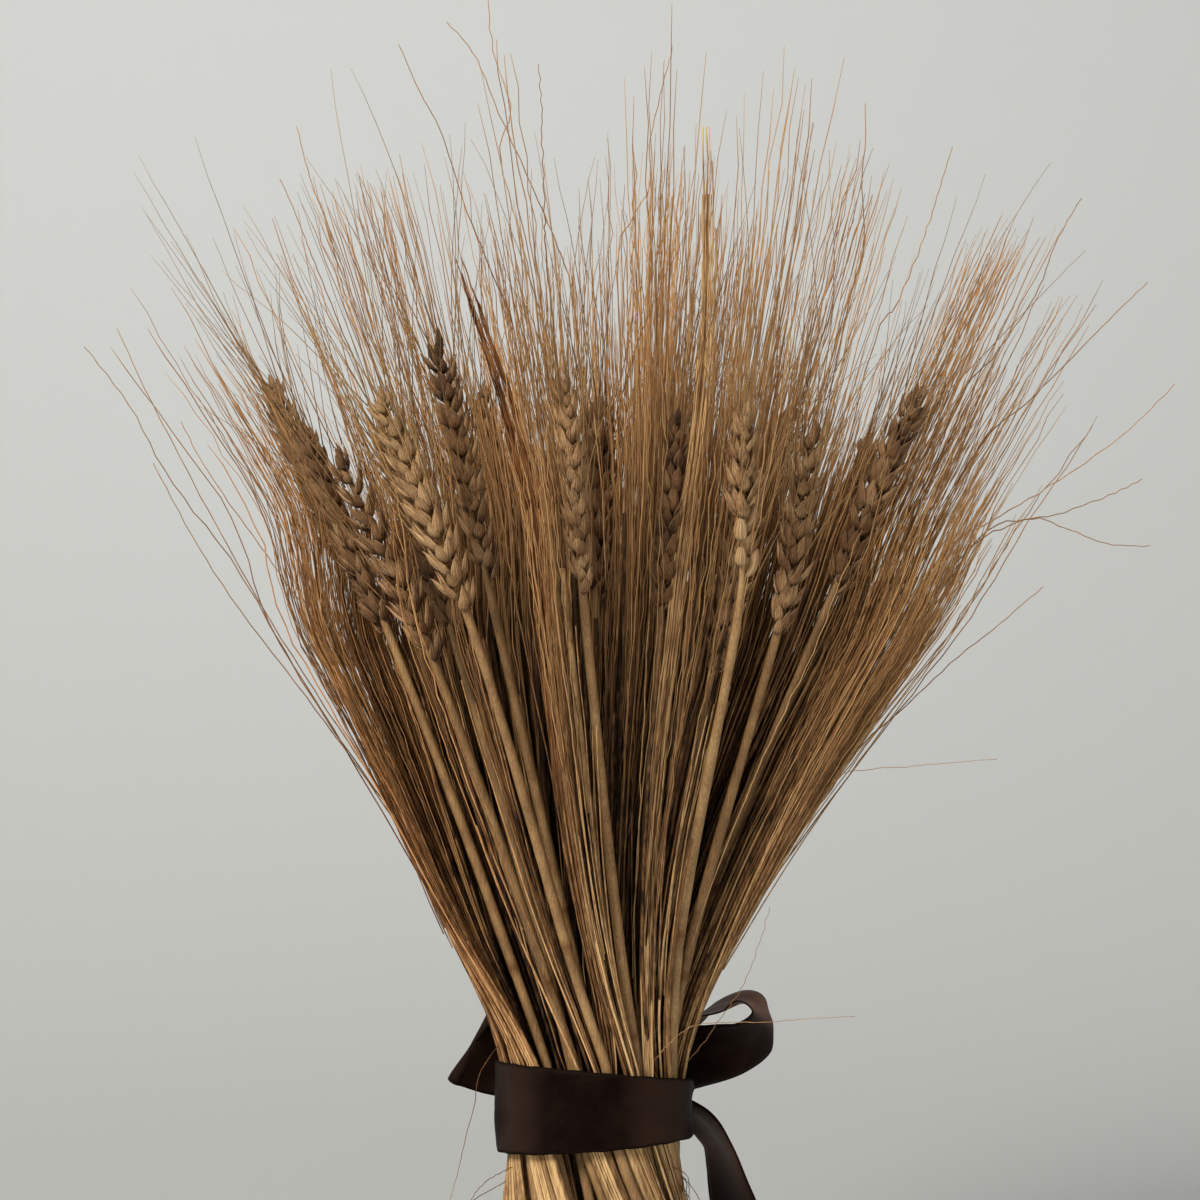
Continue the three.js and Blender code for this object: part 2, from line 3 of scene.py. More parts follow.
import bpy
import numpy as np
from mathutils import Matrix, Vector


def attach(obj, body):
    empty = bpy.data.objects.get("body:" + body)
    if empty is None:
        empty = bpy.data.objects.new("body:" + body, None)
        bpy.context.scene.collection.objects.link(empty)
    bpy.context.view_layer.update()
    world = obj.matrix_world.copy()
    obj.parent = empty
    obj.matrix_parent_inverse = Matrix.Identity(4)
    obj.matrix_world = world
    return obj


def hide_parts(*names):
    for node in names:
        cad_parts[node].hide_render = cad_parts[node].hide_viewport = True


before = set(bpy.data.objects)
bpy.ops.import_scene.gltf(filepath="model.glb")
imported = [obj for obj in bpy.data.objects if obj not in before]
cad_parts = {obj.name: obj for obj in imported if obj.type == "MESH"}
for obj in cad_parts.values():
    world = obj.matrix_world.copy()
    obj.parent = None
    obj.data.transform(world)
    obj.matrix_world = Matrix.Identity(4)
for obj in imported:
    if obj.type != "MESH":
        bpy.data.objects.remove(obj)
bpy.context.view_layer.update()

METRES = 0.001

# The sheaf, as the solids have it
TIE_HEIGHT = 140.0
TIE_HALF = np.array([28.5, 24.0])  # half the width and half the depth of the oval at the tie
FAN_REACH = 50.0
FOOT_REACH = 70.0
LAY_TURN = 0.55  # how strongly the straws wind round the sheaf's axis
LAY_REACH_UP = 35.0
LAY_REACH_DOWN = 28.0
LAY_START = 6.0  # the ribbon holds the straws straight this far above and below the tie's middle
EAR_RISE = 185.0

# Straw locks
STEMS_PER_AREA = 0.74  # straws that pass the tie for each square millimetre of a lock
STEM_GAP = 0.7
STEM_THICKNESS = (0.3, 0.54)  # radii at the tie
STOUT_SHARE = 0.12  # of the stems are nearly twice as thick
CORE = 0.84  # how far out the dense middle of the sheaf reaches, whose stems are painted dark as shade
STEM_REACH = (85.0, 150.0)  # where a stem has parted into its finer straws
HAIRS_PER_STEM = 6
BRIGHT_SHARE = 0.29  # of them catch the light
GOLDEN_SHARE = 0.25  # of the stems are golden
WISPS_PER_LOCK = 11
WISP_PULL = 0.4  # how much a wisp's straws draw together at their tips
STRAW_START = -7.0  # below the tie's middle, hidden by the ribbon
STRAW_RADIUS = (0.2, 0.38)
STRAW_TIP_RADIUS = 0.11
SHORTEST_STRAW = 193.0
WISP_TALLNESS = 36.0
STRAW_TALLNESS = 10.0
LONGEST_STRAW = 328.0
SIDE_DROP = 26.0  # how much shorter most straws at the fan's sides are
RIGHT_DROP = 15.0  # more of it at the right
SIDE_LONG_SHARE = 0.2  # of them are longer instead
OUTER_LEAN = 18.0  # and lean outwards, up to this far
KINK = 0.62
FAN_LIMIT = np.array([154.0, 122.0])  # how far to the side and in depth a straw's tip may lie
FAN_LEAN = 15.0
FAN_SWELL = 0.08
LEFT_SWELL = 0.08  # more of it at the left
LEGS_PER_AREA = 0.95
LEG_GAP = 0.72
LEG_RADIUS = (0.3, 0.6)

# How many of the straws in front of an ear or a stem are left there, and how near to its middle
IN_FRONT_OF_EAR = 0.32
IN_FRONT_OF_STEM = 0.45
IN_FRONT_OF_OTHERS = 0.92
EAR_WINDOW = 6.0
STEM_WINDOW = 2.2
EAR_BODY = 4.6  # no straw runs nearer to the middle of an ear than this
STEM_BODY = 2.2
SLIM_BODY = 3.2  # as much at the ears that aren't open to the front


def stalk(side, depth, base, length, turn=0.0, light=0.5, drift=(0, 0), sway=(0, 0), slim=0.85):
    """A wheat stalk: where it would pass the tie if the straws didn't wind, how high its ear starts above
    the tie, the ear's length, how its two ranks are turned, how light it is (lower for ears inside the
    sheaf, as painted shade), how far it drifts from its line, how far to the side the ear's foot and its
    top sway, and how far its husks stand out."""
    return dict(tie=(side, depth), base=base, length=length, turn=turn, light=light, drift=drift, sway=sway,
                slim=slim)


EARS = [
    stalk(-9.5, -12.0, 164, 74, 0.5, 0.62, (0.1, 0), slim=0.78),
    stalk(-12.6, -18.3, 155, 66, -0.3, 0.95, (-0.8, 0), (3.5, 0)),
    stalk(-17.6, -11.4, 140, 66, 0.2, 0.55, (-0.6, 0), (4, 0)),
    stalk(-13.8, -5.4, 147, 62, 0.8, 0.45, (-0.3, 0)),
    stalk(-1.0, -18.6, 160, 66, 0.1, 0.72, (-0.5, 0), slim=0.5),
    stalk(11.8, -18.2, 149, 68, 0.6, 0.7, (-0.8, 0), (4, -4), 0.6),
    stalk(16.6, -12.2, 148, 64, -0.3, 0.62, (-0.4, 0), (2, -4), 0.68),
    stalk(6.2, -10.6, 152, 64, 1.37, 0.4, (-0.4, 0), slim=0.7),
    stalk(0.0, 0.0, 158, 66, 0.9, 0.4, (0.3, 0)),
    stalk(12.2, -5.6, 136, 64, -0.5, 0.8, slim=0.75),
    stalk(-20.6, -3.0, 148, 66, 1.4, 0.5),
    stalk(-22.4, 5.0, 170, 62, 1.2, 0.68),
    stalk(21.8, -3.4, 160, 66, 0.7, 0.55),
    stalk(20.4, 6.2, 146, 68, 1.4, 0.6, (0, 0.3)),
    stalk(-8.2, 7.6, 166, 64, 0.2, 0.5, (0, 0.2)),
    stalk(6.4, 7.2, 150, 66, 1.0, 0.5, (0.2, 0.2)),
    stalk(-15.8, 12.2, 150, 70, -0.6, 0.65, (-0.4, 0.4)),
    stalk(13.6, 14.2, 160, 66, 0.5, 0.6, (0.3, 0.4)),
    stalk(-3.4, 17.8, 146, 68, 0.6, 0.7, (-0.2, 0.5)),
    stalk(4.6, 18.4, 168, 62, -0.4, 0.55, (0.3, 0.4)),
]
# Dark gaps in the front: a line like a stalk's, from and to which rise, the half-width at the tie, how far
# back the gap reaches, and the share of the straws that stay in it.
GAPS = [
    (stalk(-7.7, -17, 140, 60), (66, 205), 1.5, 34, 0.03),
    (stalk(14.9, -15, 140, 60), (62, 185), 0.8, 30, 0.0),
    (stalk(3.8, -16, 140, 60), (80, 190), 3.4, 16, 0.4),
]
STUB = stalk(-3.0, -17.6, 100, 67)  # a stout straw cut short in front of the ears
FRONT_EARS = 10  # so many ears from the top of the list are open to the front, and the others outwards
DARK_TOPPED_EAR = 0
HUSKED_EAR = 5  # this ear has lost its lower husks, and pale grains show
SPIKELETS_PER_EAR = 17
STEM_RADIUS = 1.68

# Straws that leave the fan, from their tips inwards: side and height above the floor, and how far in
# front of or behind the axis they are.
STRAYS = [
    ([(-158, 376), (-144, 358), (-131, 334), (-110, 306), (-83, 260)], -6),
    ([(-150, 382), (-139, 359), (-122, 326), (-103, 292), (-82, 259)], 10),
    ([(181, 364), (164, 348), (142, 333), (124, 322), (104, 306)], 4),
    ([(168, 334), (158, 329), (142, 323), (128, 320), (110, 306)], -6),
    ([(175, 314), (161, 315), (148, 320), (136, 323), (116, 312)], 12),
    ([(-33, 480), (-31, 463), (-26, 446), (-29, 432), (-22, 405), (-16, 372)], -20),
    ([(-62, 472), (-55, 456), (-49, 444), (-41, 420), (-33, 400), (-24, 372)], 16),
    ([(-47, 474), (-38, 464), (-31, 448), (-20, 424), (-12, 405), (-6, 381)], -8),
    ([(24, 467), (21, 454), (17, 437), (17, 424), (11, 413), (7, 395)], -10),
    ([(-17, 464), (-16, 450), (-16, 437), (-15, 416), (-14, 395)], 6),
    ([(85, 453), (85, 441), (84, 430), (85, 408), (80, 388)], 14),
    ([(112, 437), (107, 422), (102, 407), (94, 388), (86, 372)], 4),
    ([(149, 420), (141, 406), (135, 391), (122, 372), (108, 352)], -14),
    ([(175, 398), (165, 388), (153, 376), (137, 360), (118, 340)], 18),
    ([(-90, 440), (-86, 425), (-80, 409), (-76, 391), (-70, 372)], -24),
    ([(-100, 428), (-93, 412), (-88, 400), (-80, 380), (-72, 360)], 8),
    ([(138, 301), (125, 290), (110, 278), (95, 264), (80, 250)], -12),
    ([(-130, 353), (-122, 338), (-108, 318), (-95, 300), (-76, 276)], 2),
    ([(-136, 338), (-124, 316), (-110, 294), (-90, 268), (-72, 244)], -8),
    ([(121, 248), (105, 247), (92, 246), (82, 245), (70, 240)], -22),
    ([(78, 172), (64, 171), (52, 170), (40, 170), (28, 168)], -26),
    ([(54, 203), (50, 190), (45, 178), (38, 168), (31, 158)], -8),
    ([(-20, 436), (-20, 418), (-18, 400), (-20, 380), (-18, 362)], 120),
    ([(66, 418), (64, 404), (60, 388), (56, 370), (50, 352)], 112),
    ([(-78, 422), (-74, 408), (-70, 390), (-64, 370), (-58, 352)], 108),
]
LOW_STRAY = 260.0  # strays with tips below this are fine hairs

# Loose hairs below the ribbon, from their roots outwards, with their depth and how light they are
LOW_HAIRS = [
    ([(-25, 166), (-35, 152), (-37, 141), (-40, 130), (-43, 118), (-47, 104), (-50, 92)], -4, 0.3),
    ([(-23, 124), (-29, 121), (-34, 118), (-38, 113), (-43, 104), (-45, 92)], -8, 0.3),
    ([(-23, 120), (-29, 116), (-36, 112), (-44, 106), (-50, 100), (-52, 90)], -2, 0.25),
    ([(22, 124), (28, 121), (29, 116), (28, 110), (32, 104), (33, 96)], -10, 0.2),
    ([(22, 122), (28, 118), (32, 113), (33, 108), (32, 101), (36, 92)], -6, 0.2),
    ([(22, 120), (27, 116), (30, 111), (32, 106), (36, 101), (42, 96)], -8, 0.2),
    ([(22, 118), (28, 113), (30, 106), (34, 99), (35, 93), (35, 88)], -3, 0.2),
    ([(24, 124), (27, 118), (26, 112), (28, 107), (27, 101), (30, 95), (29, 89)], -7, 0.15),
    ([(24, 122), (26, 115), (28, 110), (27, 104), (30, 99), (31, 92), (34, 87)], -4, 0.15),
    ([(24, 120), (28, 117), (28, 109), (31, 103), (30, 97), (33, 90)], 0, 0.15),
]

# Straws that cling together: the points of their middle line, how many, how far apart at most, how
# light and how warm they are.
TIGHT_LOCKS = [
    ([(17, -14, 134), (16, -20, 180), (18, -28, 235), (24.5, -38, 300), (31.8, -54, 369), (32.2, -64, 443)],
     26, 1.6, 0.78, 0.05),
    ([(5, -17, 134), (4, -20.5, 165), (-6, -29, 219), (-11, -36, 261), (-15, -39, 297), (-19, -42, 327),
      (-25, -44, 354), (-34, -46, 380), (-41, -47, 402)], 26, 2.6, 0.45, 0.75),
]


def mix(low, high, share):
    return low + (high - low) * share


def smooth(share):
    share = np.clip(share, 0.0, 1.0)
    return share * share * (3.0 - 2.0 * share)


def peak(value, middle, width, power=2):
    """1 at the middle, and next to nothing well beyond the width."""
    return np.exp(-((value - middle) / width) ** power)


def unit(vectors):
    return vectors / np.maximum(np.linalg.norm(vectors, axis=-1, keepdims=True), 1e-9)


def spread(height):
    """How many times wider than at the tie the sheaf is at a height."""
    rise = np.asarray(height, float) - TIE_HEIGHT
    return np.hypot(1.0, rise / np.where(rise > 0, FAN_REACH, FOOT_REACH))


def lay_turn(height):
    """How far the straws have wound round the axis at a height, in radians."""
    rise = np.asarray(height, float) - TIE_HEIGHT
    over = np.maximum(np.abs(rise) - LAY_START, 0.0)
    past = over ** 2 / (over + 5.0)
    return -np.sign(rise) * LAY_TURN * np.arctan(past / np.where(rise > 0, LAY_REACH_UP, LAY_REACH_DOWN))


def turned(side, depth, angle):
    """A place in the tie's oval, turned round its middle by an angle."""
    across, deep = side / TIE_HALF[0], depth / TIE_HALF[1]
    return ((across * np.cos(angle) - deep * np.sin(angle)) * TIE_HALF[0],
            (across * np.sin(angle) + deep * np.cos(angle)) * TIE_HALF[1])


FAN_TURN = lay_turn(TIE_HEIGHT + EAR_RISE)


def fan_out(side, depth, height):
    """A point of the tie's oval carried out to a height."""
    scale = spread(height)
    side, depth = turned(side, depth, lay_turn(height))
    return np.stack(np.broadcast_arrays(side * scale, depth * scale, np.asarray(height, float)), axis=-1)


def through(points, steps):
    """A smooth curve through points, sampled evenly."""
    points = np.asarray(points, float)
    places = np.linspace(0, len(points) - 1, steps)
    padded = np.concatenate([[2 * points[0] - points[1]], points, [2 * points[-1] - points[-2]]])
    low = np.clip(places.astype(int), 0, len(points) - 2)
    t = (places - low)[:, None]
    before, start, end, after = (padded[low + i] for i in range(4))
    return 0.5 * (2 * start + (end - before) * t + (2 * before - 5 * start + 4 * end - after) * t ** 2
                  + (3 * start - before - 3 * end + after) * t ** 3)


def lengths_along(points):
    return np.concatenate([[0], np.cumsum(np.linalg.norm(np.diff(points, axis=0), axis=1))])


# Mesh making

TINTS = ("light", "along", "warm", "across")


def add_object(name, data):
    made = bpy.data.objects.new(name, data)
    bpy.context.scene.collection.objects.link(made)
    return made


def smooth_mesh(name, points, faces):
    mesh = bpy.data.meshes.new(name)
    mesh.from_pydata(points, [], faces)
    mesh.polygons.foreach_set("use_smooth", [True] * len(mesh.polygons))
    return mesh


def place_piece(name, mesh, material):
    """Puts a finished mesh in the scene, on the sheaf's one body."""
    mesh.validate()
    mesh.materials.append(material)
    piece = add_object(name, mesh)
    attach(piece, "root")
    return piece


class Weave:
    """Gathers closed lofted shapes and turns them into one mesh with tints for its material."""

    def __init__(self):
        self.points = []
        self.corners = []
        self.sides = []
        self.tints = {name: [] for name in TINTS}
        self.count = 0

    def loft(self, centres, right, up, sides, along, light, warm=0.0, under=1.0, keel=0.0, turn=0.0):
        """Shapes over rings: centres, right and up are (shapes, rings, 3), and right x up points along."""
        shapes, rings, _ = centres.shape
        angle = turn + 2 * np.pi * np.arange(sides) / sides
        across, rise = np.cos(angle), np.sin(angle)
        rise = np.where(rise < 0, rise * under, rise + keel * np.maximum(rise - 0.8, 0) * 5)
        points = centres[:, :, None] + right[:, :, None] * across[:, None] + up[:, :, None] * rise[:, None]
        for name, value in (("light", light), ("along", along), ("warm", warm)):
            value = np.asarray(value, float)[..., None]
            self.tints[name].append(np.broadcast_to(value, (shapes, rings, sides)).ravel())
        self.tints["across"].append(np.broadcast_to(across, (shapes, rings, sides)).ravel())

        first = self.count + np.arange(shapes)[:, None, None] * rings * sides
        low = first + np.arange(rings - 1)[:, None] * sides
        here = np.arange(sides)
        ahead = (here + 1) % sides
        quads = np.stack([low + here, low + ahead, low + sides + ahead, low + sides + here], axis=-1)
        cap = first[:, 0] + here
        for faces in (quads.reshape(-1, 4), cap[:, ::-1], cap + (rings - 1) * sides):
            self.corners.append(faces.ravel())
            self.sides.append(np.full(len(faces), faces.shape[1]))
        self.points.append(points.reshape(-1, 3))
        self.count += shapes * rings * sides

    def tubes(self, paths, radii, sides, axis=None, **tints):
        """Round shapes along paths (shapes, rings, 3); axis is their direction where it isn't the path's."""
        axis = unit(np.gradient(paths, axis=1) if axis is None else np.broadcast_to(axis, paths.shape))
        sideways = unit(np.cross((0.0, 1.0, 0.0), axis))
        depthways = np.cross(axis, sideways)
        radii = np.broadcast_to(radii, paths.shape[:2])[..., None]
        self.loft(paths, sideways * radii, depthways * radii, sides, **tints)

    def piece(self, name, material, slot):
        mesh = bpy.data.meshes.new(name)
        points = np.concatenate(self.points) * METRES
        corners = np.concatenate(self.corners)
        sides = np.concatenate(self.sides)
        mesh.vertices.add(len(points))
        mesh.vertices.foreach_set("co", points.astype(np.float32).ravel())
        mesh.loops.add(len(corners))
        mesh.loops.foreach_set("vertex_index", corners.astype(np.int32))
        mesh.polygons.add(len(sides))
        starts = np.concatenate([[0], np.cumsum(sides)[:-1]])
        mesh.polygons.foreach_set("loop_start", starts.astype(np.int32))
        mesh.polygons.foreach_set("use_smooth", np.full(len(sides), True))
        for tint in TINTS:
            layer = mesh.attributes.new(tint, "FLOAT", "POINT")
            layer.data.foreach_set("value", np.concatenate(self.tints[tint]).astype(np.float32))
        mesh.update(calc_edges=True)
        return place_piece(name, mesh, material)


# Materials


class Nodes:
    """Adds nodes to a material or a group. Their inputs are numbers, colours or other nodes' outputs."""

    def __init__(self, tree):
        self.tree = tree

    def feed(self, node, inputs):
        for name, value in dict(inputs).items():
            if isinstance(value, bpy.types.NodeSocket):
                self.tree.links.new(value, node.inputs[name])
            else:
                node.inputs[name].default_value = value

    def node(self, kind, inputs=(), **settings):
        made = self.tree.nodes.new(kind)
        for field, value in settings.items():
            setattr(made, field, value)
        self.feed(made, inputs)
        return made

    def number(self, operation, *values):
        return self.node("ShaderNodeMath", enumerate(values), operation=operation).outputs["Value"]

    def times(self, vector, factors):
        inputs = {0: vector, 1: factors}
        return self.node("ShaderNodeVectorMath", inputs, operation="MULTIPLY").outputs["Vector"]

    def scaled(self, colour, scale):
        inputs = {0: colour, "Scale": scale}
        return self.node("ShaderNodeVectorMath", inputs, operation="SCALE").outputs["Vector"]

    def remap(self, value, low, high, new_low=0.0, new_high=1.0):
        inputs = {"Value": value, "From Min": low, "From Max": high, "To Min": new_low, "To Max": new_high}
        return self.node("ShaderNodeMapRange", inputs).outputs["Result"]

    def blend(self, share, low, high, **settings):
        inputs = {"Factor": share, 6: low, 7: high}
        return self.node("ShaderNodeMix", inputs, data_type="RGBA", **settings).outputs[2]

    def noise(self, place, scale, detail, roughness):
        inputs = {"Vector": place, "Scale": scale, "Detail": detail, "Roughness": roughness}
        return self.node("ShaderNodeTexNoise", inputs).outputs["Fac"]

    def relief(self, height, distance, strength):
        inputs = {"Height": height, "Distance": distance, "Strength": strength}
        return self.node("ShaderNodeBump", inputs).outputs["Normal"]

    def tint(self, name):
        return self.node("ShaderNodeAttribute", attribute_name=name).outputs["Fac"]


def dry_fibre_group():
    """Dry stalk fibre: streaks along the length over a dark, middle and light colour."""
    tree = bpy.data.node_groups.new("dry_fibre", "ShaderNodeTree")
    nodes = Nodes(tree)
    for name in ("Light", "Warm", "Streak Width", "Streak Length", "Streak Strength", "Patch Strength"):
        tree.interface.new_socket(name, in_out="INPUT", socket_type="NodeSocketFloat")
    for name in ("Dark", "Middle", "Pale", "Warm Colour"):
        tree.interface.new_socket(name, in_out="INPUT", socket_type="NodeSocketColor")
    for name, kind in (("Colour", "NodeSocketColor"), ("Height", "NodeSocketFloat")):
        tree.interface.new_socket(name, in_out="OUTPUT", socket_type=kind)
    given = nodes.node("NodeGroupInput").outputs
    place = nodes.node("ShaderNodeTexCoord").outputs["Object"]
    stretch = nodes.node("ShaderNodeCombineXYZ", {
        "X": given["Streak Width"], "Y": given["Streak Width"], "Z": given["Streak Length"]})
    streaks = nodes.noise(nodes.times(place, stretch.outputs["Vector"]), 1.0, 2.0, 0.6)
    patches = nodes.noise(place, 90.0, 1.5, 0.6)
    streak = nodes.remap(streaks, 0.25, 0.75, -0.5, 0.5)
    patch = nodes.remap(patches, 0.3, 0.7, -0.5, 0.5)
    level = nodes.number("MULTIPLY_ADD", streak, given["Streak Strength"], given["Light"])
    level = nodes.number("MULTIPLY_ADD", patch, given["Patch Strength"], level)
    darker = nodes.blend(nodes.remap(level, 0.0, 0.5), given["Dark"], given["Middle"])
    lighter = nodes.blend(nodes.remap(level, 0.5, 1.0), darker, given["Pale"])
    warmed = nodes.blend(given["Warm"], lighter, given["Warm Colour"], blend_type="MULTIPLY")
    nodes.node("NodeGroupOutput", {"Colour": warmed, "Height": streaks})
    return tree


def new_material(name, **fixed):
    """A material whose Principled shader has the given fixed numbers and colours."""
    material = bpy.data.materials.new(name)
    material.use_nodes = True
    shader = material.node_tree.nodes["Principled BSDF"]
    for field, value in fixed.items():
        shader.inputs[field.replace("_", " ")].default_value = value
    return material, shader, Nodes(material.node_tree)


dry_fibre = dry_fibre_group()


def fibre_material(name, colours, streak, patch, roughness, specular, bump=0.0, tip=0.0,
                   tip_colour=None, ribs=0.0, painted_seam_shade=0.0):
    """Straw, stem or husk, in its dark, middle and pale colours and the one that warms them. tip is how
    far the colour turns to tip_colour at a straw's end, ribs how finely a husk is ribbed (husks are also
    painted darker at their feet, as shade), and the seam setting how strongly the sides of straws are
    painted dark near the tie: painted shade between straws that lie close there."""
    material, shader, nodes = new_material(name, Specular_IOR_Level=specular)
    colours = [(*colour, 1.0) for colour in colours]
    group = nodes.node("ShaderNodeGroup", node_tree=dry_fibre)
    nodes.feed(group, zip(("Streak Width", "Streak Length", "Streak Strength"), streak))
    nodes.feed(group, zip(("Dark", "Middle", "Pale", "Warm Colour"), colours))
    nodes.feed(group, {"Light": nodes.tint("light"), "Warm": nodes.tint("warm"), "Patch Strength": patch})
    colour, height = group.outputs["Colour"], group.outputs["Height"]
    rough = nodes.remap(height, 0.0, 1.0, *roughness)
    if tip:
        end = nodes.remap(nodes.tint("along"), 0.35, 1.0, 0.0, tip)
        colour = nodes.blend(end, colour, (*tip_colour, 1.0))
    # Painted shade: each straw's sides are darkened, most at the tie, where the straws lie close.
    if painted_seam_shade:
        side_shade = nodes.remap(nodes.number("ABSOLUTE", nodes.tint("across")), 0.45, 0.95, 0.0, painted_seam_shade)
        near_tie = nodes.remap(nodes.tint("along"), 0.0, 0.5, -1.0, 0.0)
        colour = nodes.scaled(colour, nodes.number("MULTIPLY_ADD", side_shade, near_tie, 1.0))
    if ribs:
        rib = nodes.number("SINE", nodes.number("MULTIPLY", nodes.tint("across"), ribs))
        height = nodes.number("MULTIPLY_ADD", rib, 0.35, height)
        # Painted shade: husks are darker towards their feet, where they tuck into the spikelet.
        foot = nodes.remap(nodes.tint("along"), 0.0, 0.32, 0.42, 1.0)
        shade = nodes.number("MULTIPLY", nodes.remap(rib, -1.0, 1.0, 0.62, 1.1), foot)
        papery = nodes.remap(nodes.number("ABSOLUTE", nodes.tint("across")), 0.84, 1.0, 0.0, 0.6)
        colour = nodes.blend(papery, nodes.scaled(colour, shade), colours[2])
    nodes.feed(shader, {"Base Color": colour, "Roughness": rough})
    if bump:
        nodes.feed(shader, {"Normal": nodes.relief(height, bump, 0.8)})
    return material


def satin_material():
    """Dark brown satin: fine threads across a soft glossy face and duller woven edges. The face colour is
    painted lighter and darker in broad blocks along the ribbon: painted sheen, for the satin's highlights
    and its darker reflections."""
    material, shader, nodes = new_material("dark_brown_satin", Anisotropic=0.5, Specular_IOR_Level=0.06,
                                             Specular_Tint=(1.0, 0.78, 0.66, 1.0))
    cloth = nodes.node("ShaderNodeUVMap", uv_map="cloth").outputs["UV"]
    threads = nodes.node("ShaderNodeTexWave", {
        "Vector": cloth, "Scale": 0.62, "Distortion": 1.4, "Detail": 2.0}, bands_direction="Y")
    mottle = nodes.noise(cloth, 0.09, 5.0, 0.6)
    slubs = nodes.noise(nodes.times(cloth, (2.6, 0.22, 1.0)), 1.0, 3.0, 0.7)
    beside = nodes.number("ABSOLUTE", nodes.node("ShaderNodeSeparateXYZ", {"Vector": cloth}).outputs["X"])
    edge = nodes.remap(beside, 11.4, 12.1)
    shade = nodes.remap(nodes.number("MULTIPLY_ADD", slubs, 0.5, mottle), 0.5, 1.0, -0.16, 0.16)
    # The painted sheen lifts the face colour, well past its pale colour where a highlight is painted.
    lit = nodes.number("MAXIMUM", nodes.number("ADD", shade, nodes.tint("painted_sheen")), 0.0)
    face = nodes.blend(lit, (0.0035, 0.0014, 0.0011, 1.0), (0.038, 0.0192, 0.0128, 1.0), clamp_factor=False)
    weave = nodes.number("MULTIPLY_ADD", threads.outputs["Fac"], 0.4, slubs)
    nodes.feed(shader, {
        "Base Color": nodes.blend(edge, face, (0.008, 0.0045, 0.0032, 1.0)),
        "Roughness": nodes.remap(edge, 0.0, 1.0, 0.46, 0.68),
        "Normal": nodes.relief(weave, 0.00011, 0.7)})
    return material


def backdrop_material():
    material, shader, nodes = new_material("pale_backdrop", Roughness=0.9)
    cloud = nodes.node("ShaderNodeTexNoise", {"Scale": 1.3, "Detail": 2.0}).outputs["Fac"]
    tone = nodes.remap(cloud, 0.0, 1.0, 0.97, 1.03)
    nodes.feed(shader, {"Base Color": nodes.scaled((0.62, 0.625, 0.612), tone)})
    return material


# Straws deep in the sheaf, painted dark as shade, take mostly the dark colour.
straw_material = fibre_material(
    "fine_dry_straw",
    [(0.02, 0.0105, 0.0066), (0.25, 0.13, 0.054), (0.74, 0.48, 0.225), (0.95, 0.61, 0.44)],
    streak=(900.0, 45.0, 0.45), patch=0.3, roughness=(0.62, 0.8), specular=0.12, tip=0.62,
    tip_colour=(0.52, 0.275, 0.108), painted_seam_shade=0.55)
stem_material = fibre_material(
    "wheat_stem",
    [(0.07, 0.035, 0.0135), (0.3, 0.163, 0.062), (0.56, 0.372, 0.165), (0.5, 0.33, 0.2)],
    streak=(2600.0, 40.0, 0.5), patch=0.3, roughness=(0.42, 0.62), specular=0.4, bump=0.0002)
husk_material = fibre_material(
    "wheat_husk",
    [(0.035, 0.0155, 0.0075), (0.26, 0.132, 0.056), (0.66, 0.425, 0.21), (0.62, 0.42, 0.3)],
    streak=(1500.0, 260.0, 0.35), patch=0.5, roughness=(0.5, 0.72), specular=0.3, bump=0.00028, tip=0.4,
    tip_colour=(0.4, 0.225, 0.105), ribs=13.0)
satin = satin_material()


# Straw locks


def solid_points(node):
    """The corners of a solid, in millimetres."""
    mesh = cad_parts[node].data
    points = np.zeros(len(mesh.vertices) * 3)
    mesh.vertices.foreach_get("co", points)
    return points.reshape(-1, 3) / METRES


def ring_at_tie(node):
    """The outline of a solid where the middle of the ribbon holds it."""
    points = solid_points(node)
    ring = np.unique(np.round(points[np.abs(points[:, 2] - TIE_HEIGHT) < 0.01][:, :2], 3), axis=0)
    middle = ring.mean(axis=0)
    return ring[np.argsort(np.arctan2(*(ring - middle).T[::-1]))]


def area_of(outline):
    ahead = np.roll(outline, -1, axis=0)
    return 0.5 * abs(np.sum(outline[:, 0] * ahead[:, 1] - outline[:, 1] * ahead[:, 0]))


def places_in(outline, count, random):
    """Random places inside a convex outline."""
    middle = outline.mean(axis=0)
    ahead = np.roll(outline, -1, axis=0)
    areas = np.abs(np.cross(outline - middle, ahead - middle))
    side = random.choice(len(outline), count, p=areas / areas.sum())
    u = random.random((count, 1))
    v = random.random((count, 1))
    outside = u + v > 1
    u = np.where(outside, 1 - u, u)
    v = np.where(outside, 1 - v, v)
    return middle + u * (outline[side] - middle) + v * (ahead[side] - middle)


def spaced_places(outline, count, gap, margin, random):
    """Random places inside an outline, none nearer to another than the gap. They are drawn in by the
    margin where they would press into the ribbon."""
    kept = []
    for place in places_in(outline, count * 8, random):
        if len(kept) < count and all(math.dist(place, other) > gap for other in kept):
            kept.append(place)
    kept = np.array(kept)
    return kept / np.maximum(np.hypot(*(kept / (TIE_HALF - margin)).T), 1.0)[:, None]


def how_deep(places):
    """0 in the middle of the sheaf and 1 at its rim."""
    return np.hypot(*(places / TIE_HALF).T)


def fan_line(side, depth, heights):
    """Where a straw that passes the tie at side and depth is at some heights. The fan leans to the right."""
    rise = heights - TIE_HEIGHT
    line = fan_out(side, depth, heights)
    at_left = smooth(-line[..., 0] / 40)
    line[..., 0] *= 1.0 + (FAN_SWELL + LEFT_SWELL * at_left) * (
        smooth((rise - 10) / 50) * (1.0 - 0.8 * smooth((rise - 140) / 50)))
    line[..., 0] += FAN_LEAN * smooth((rise - 20) / 190)
    return line


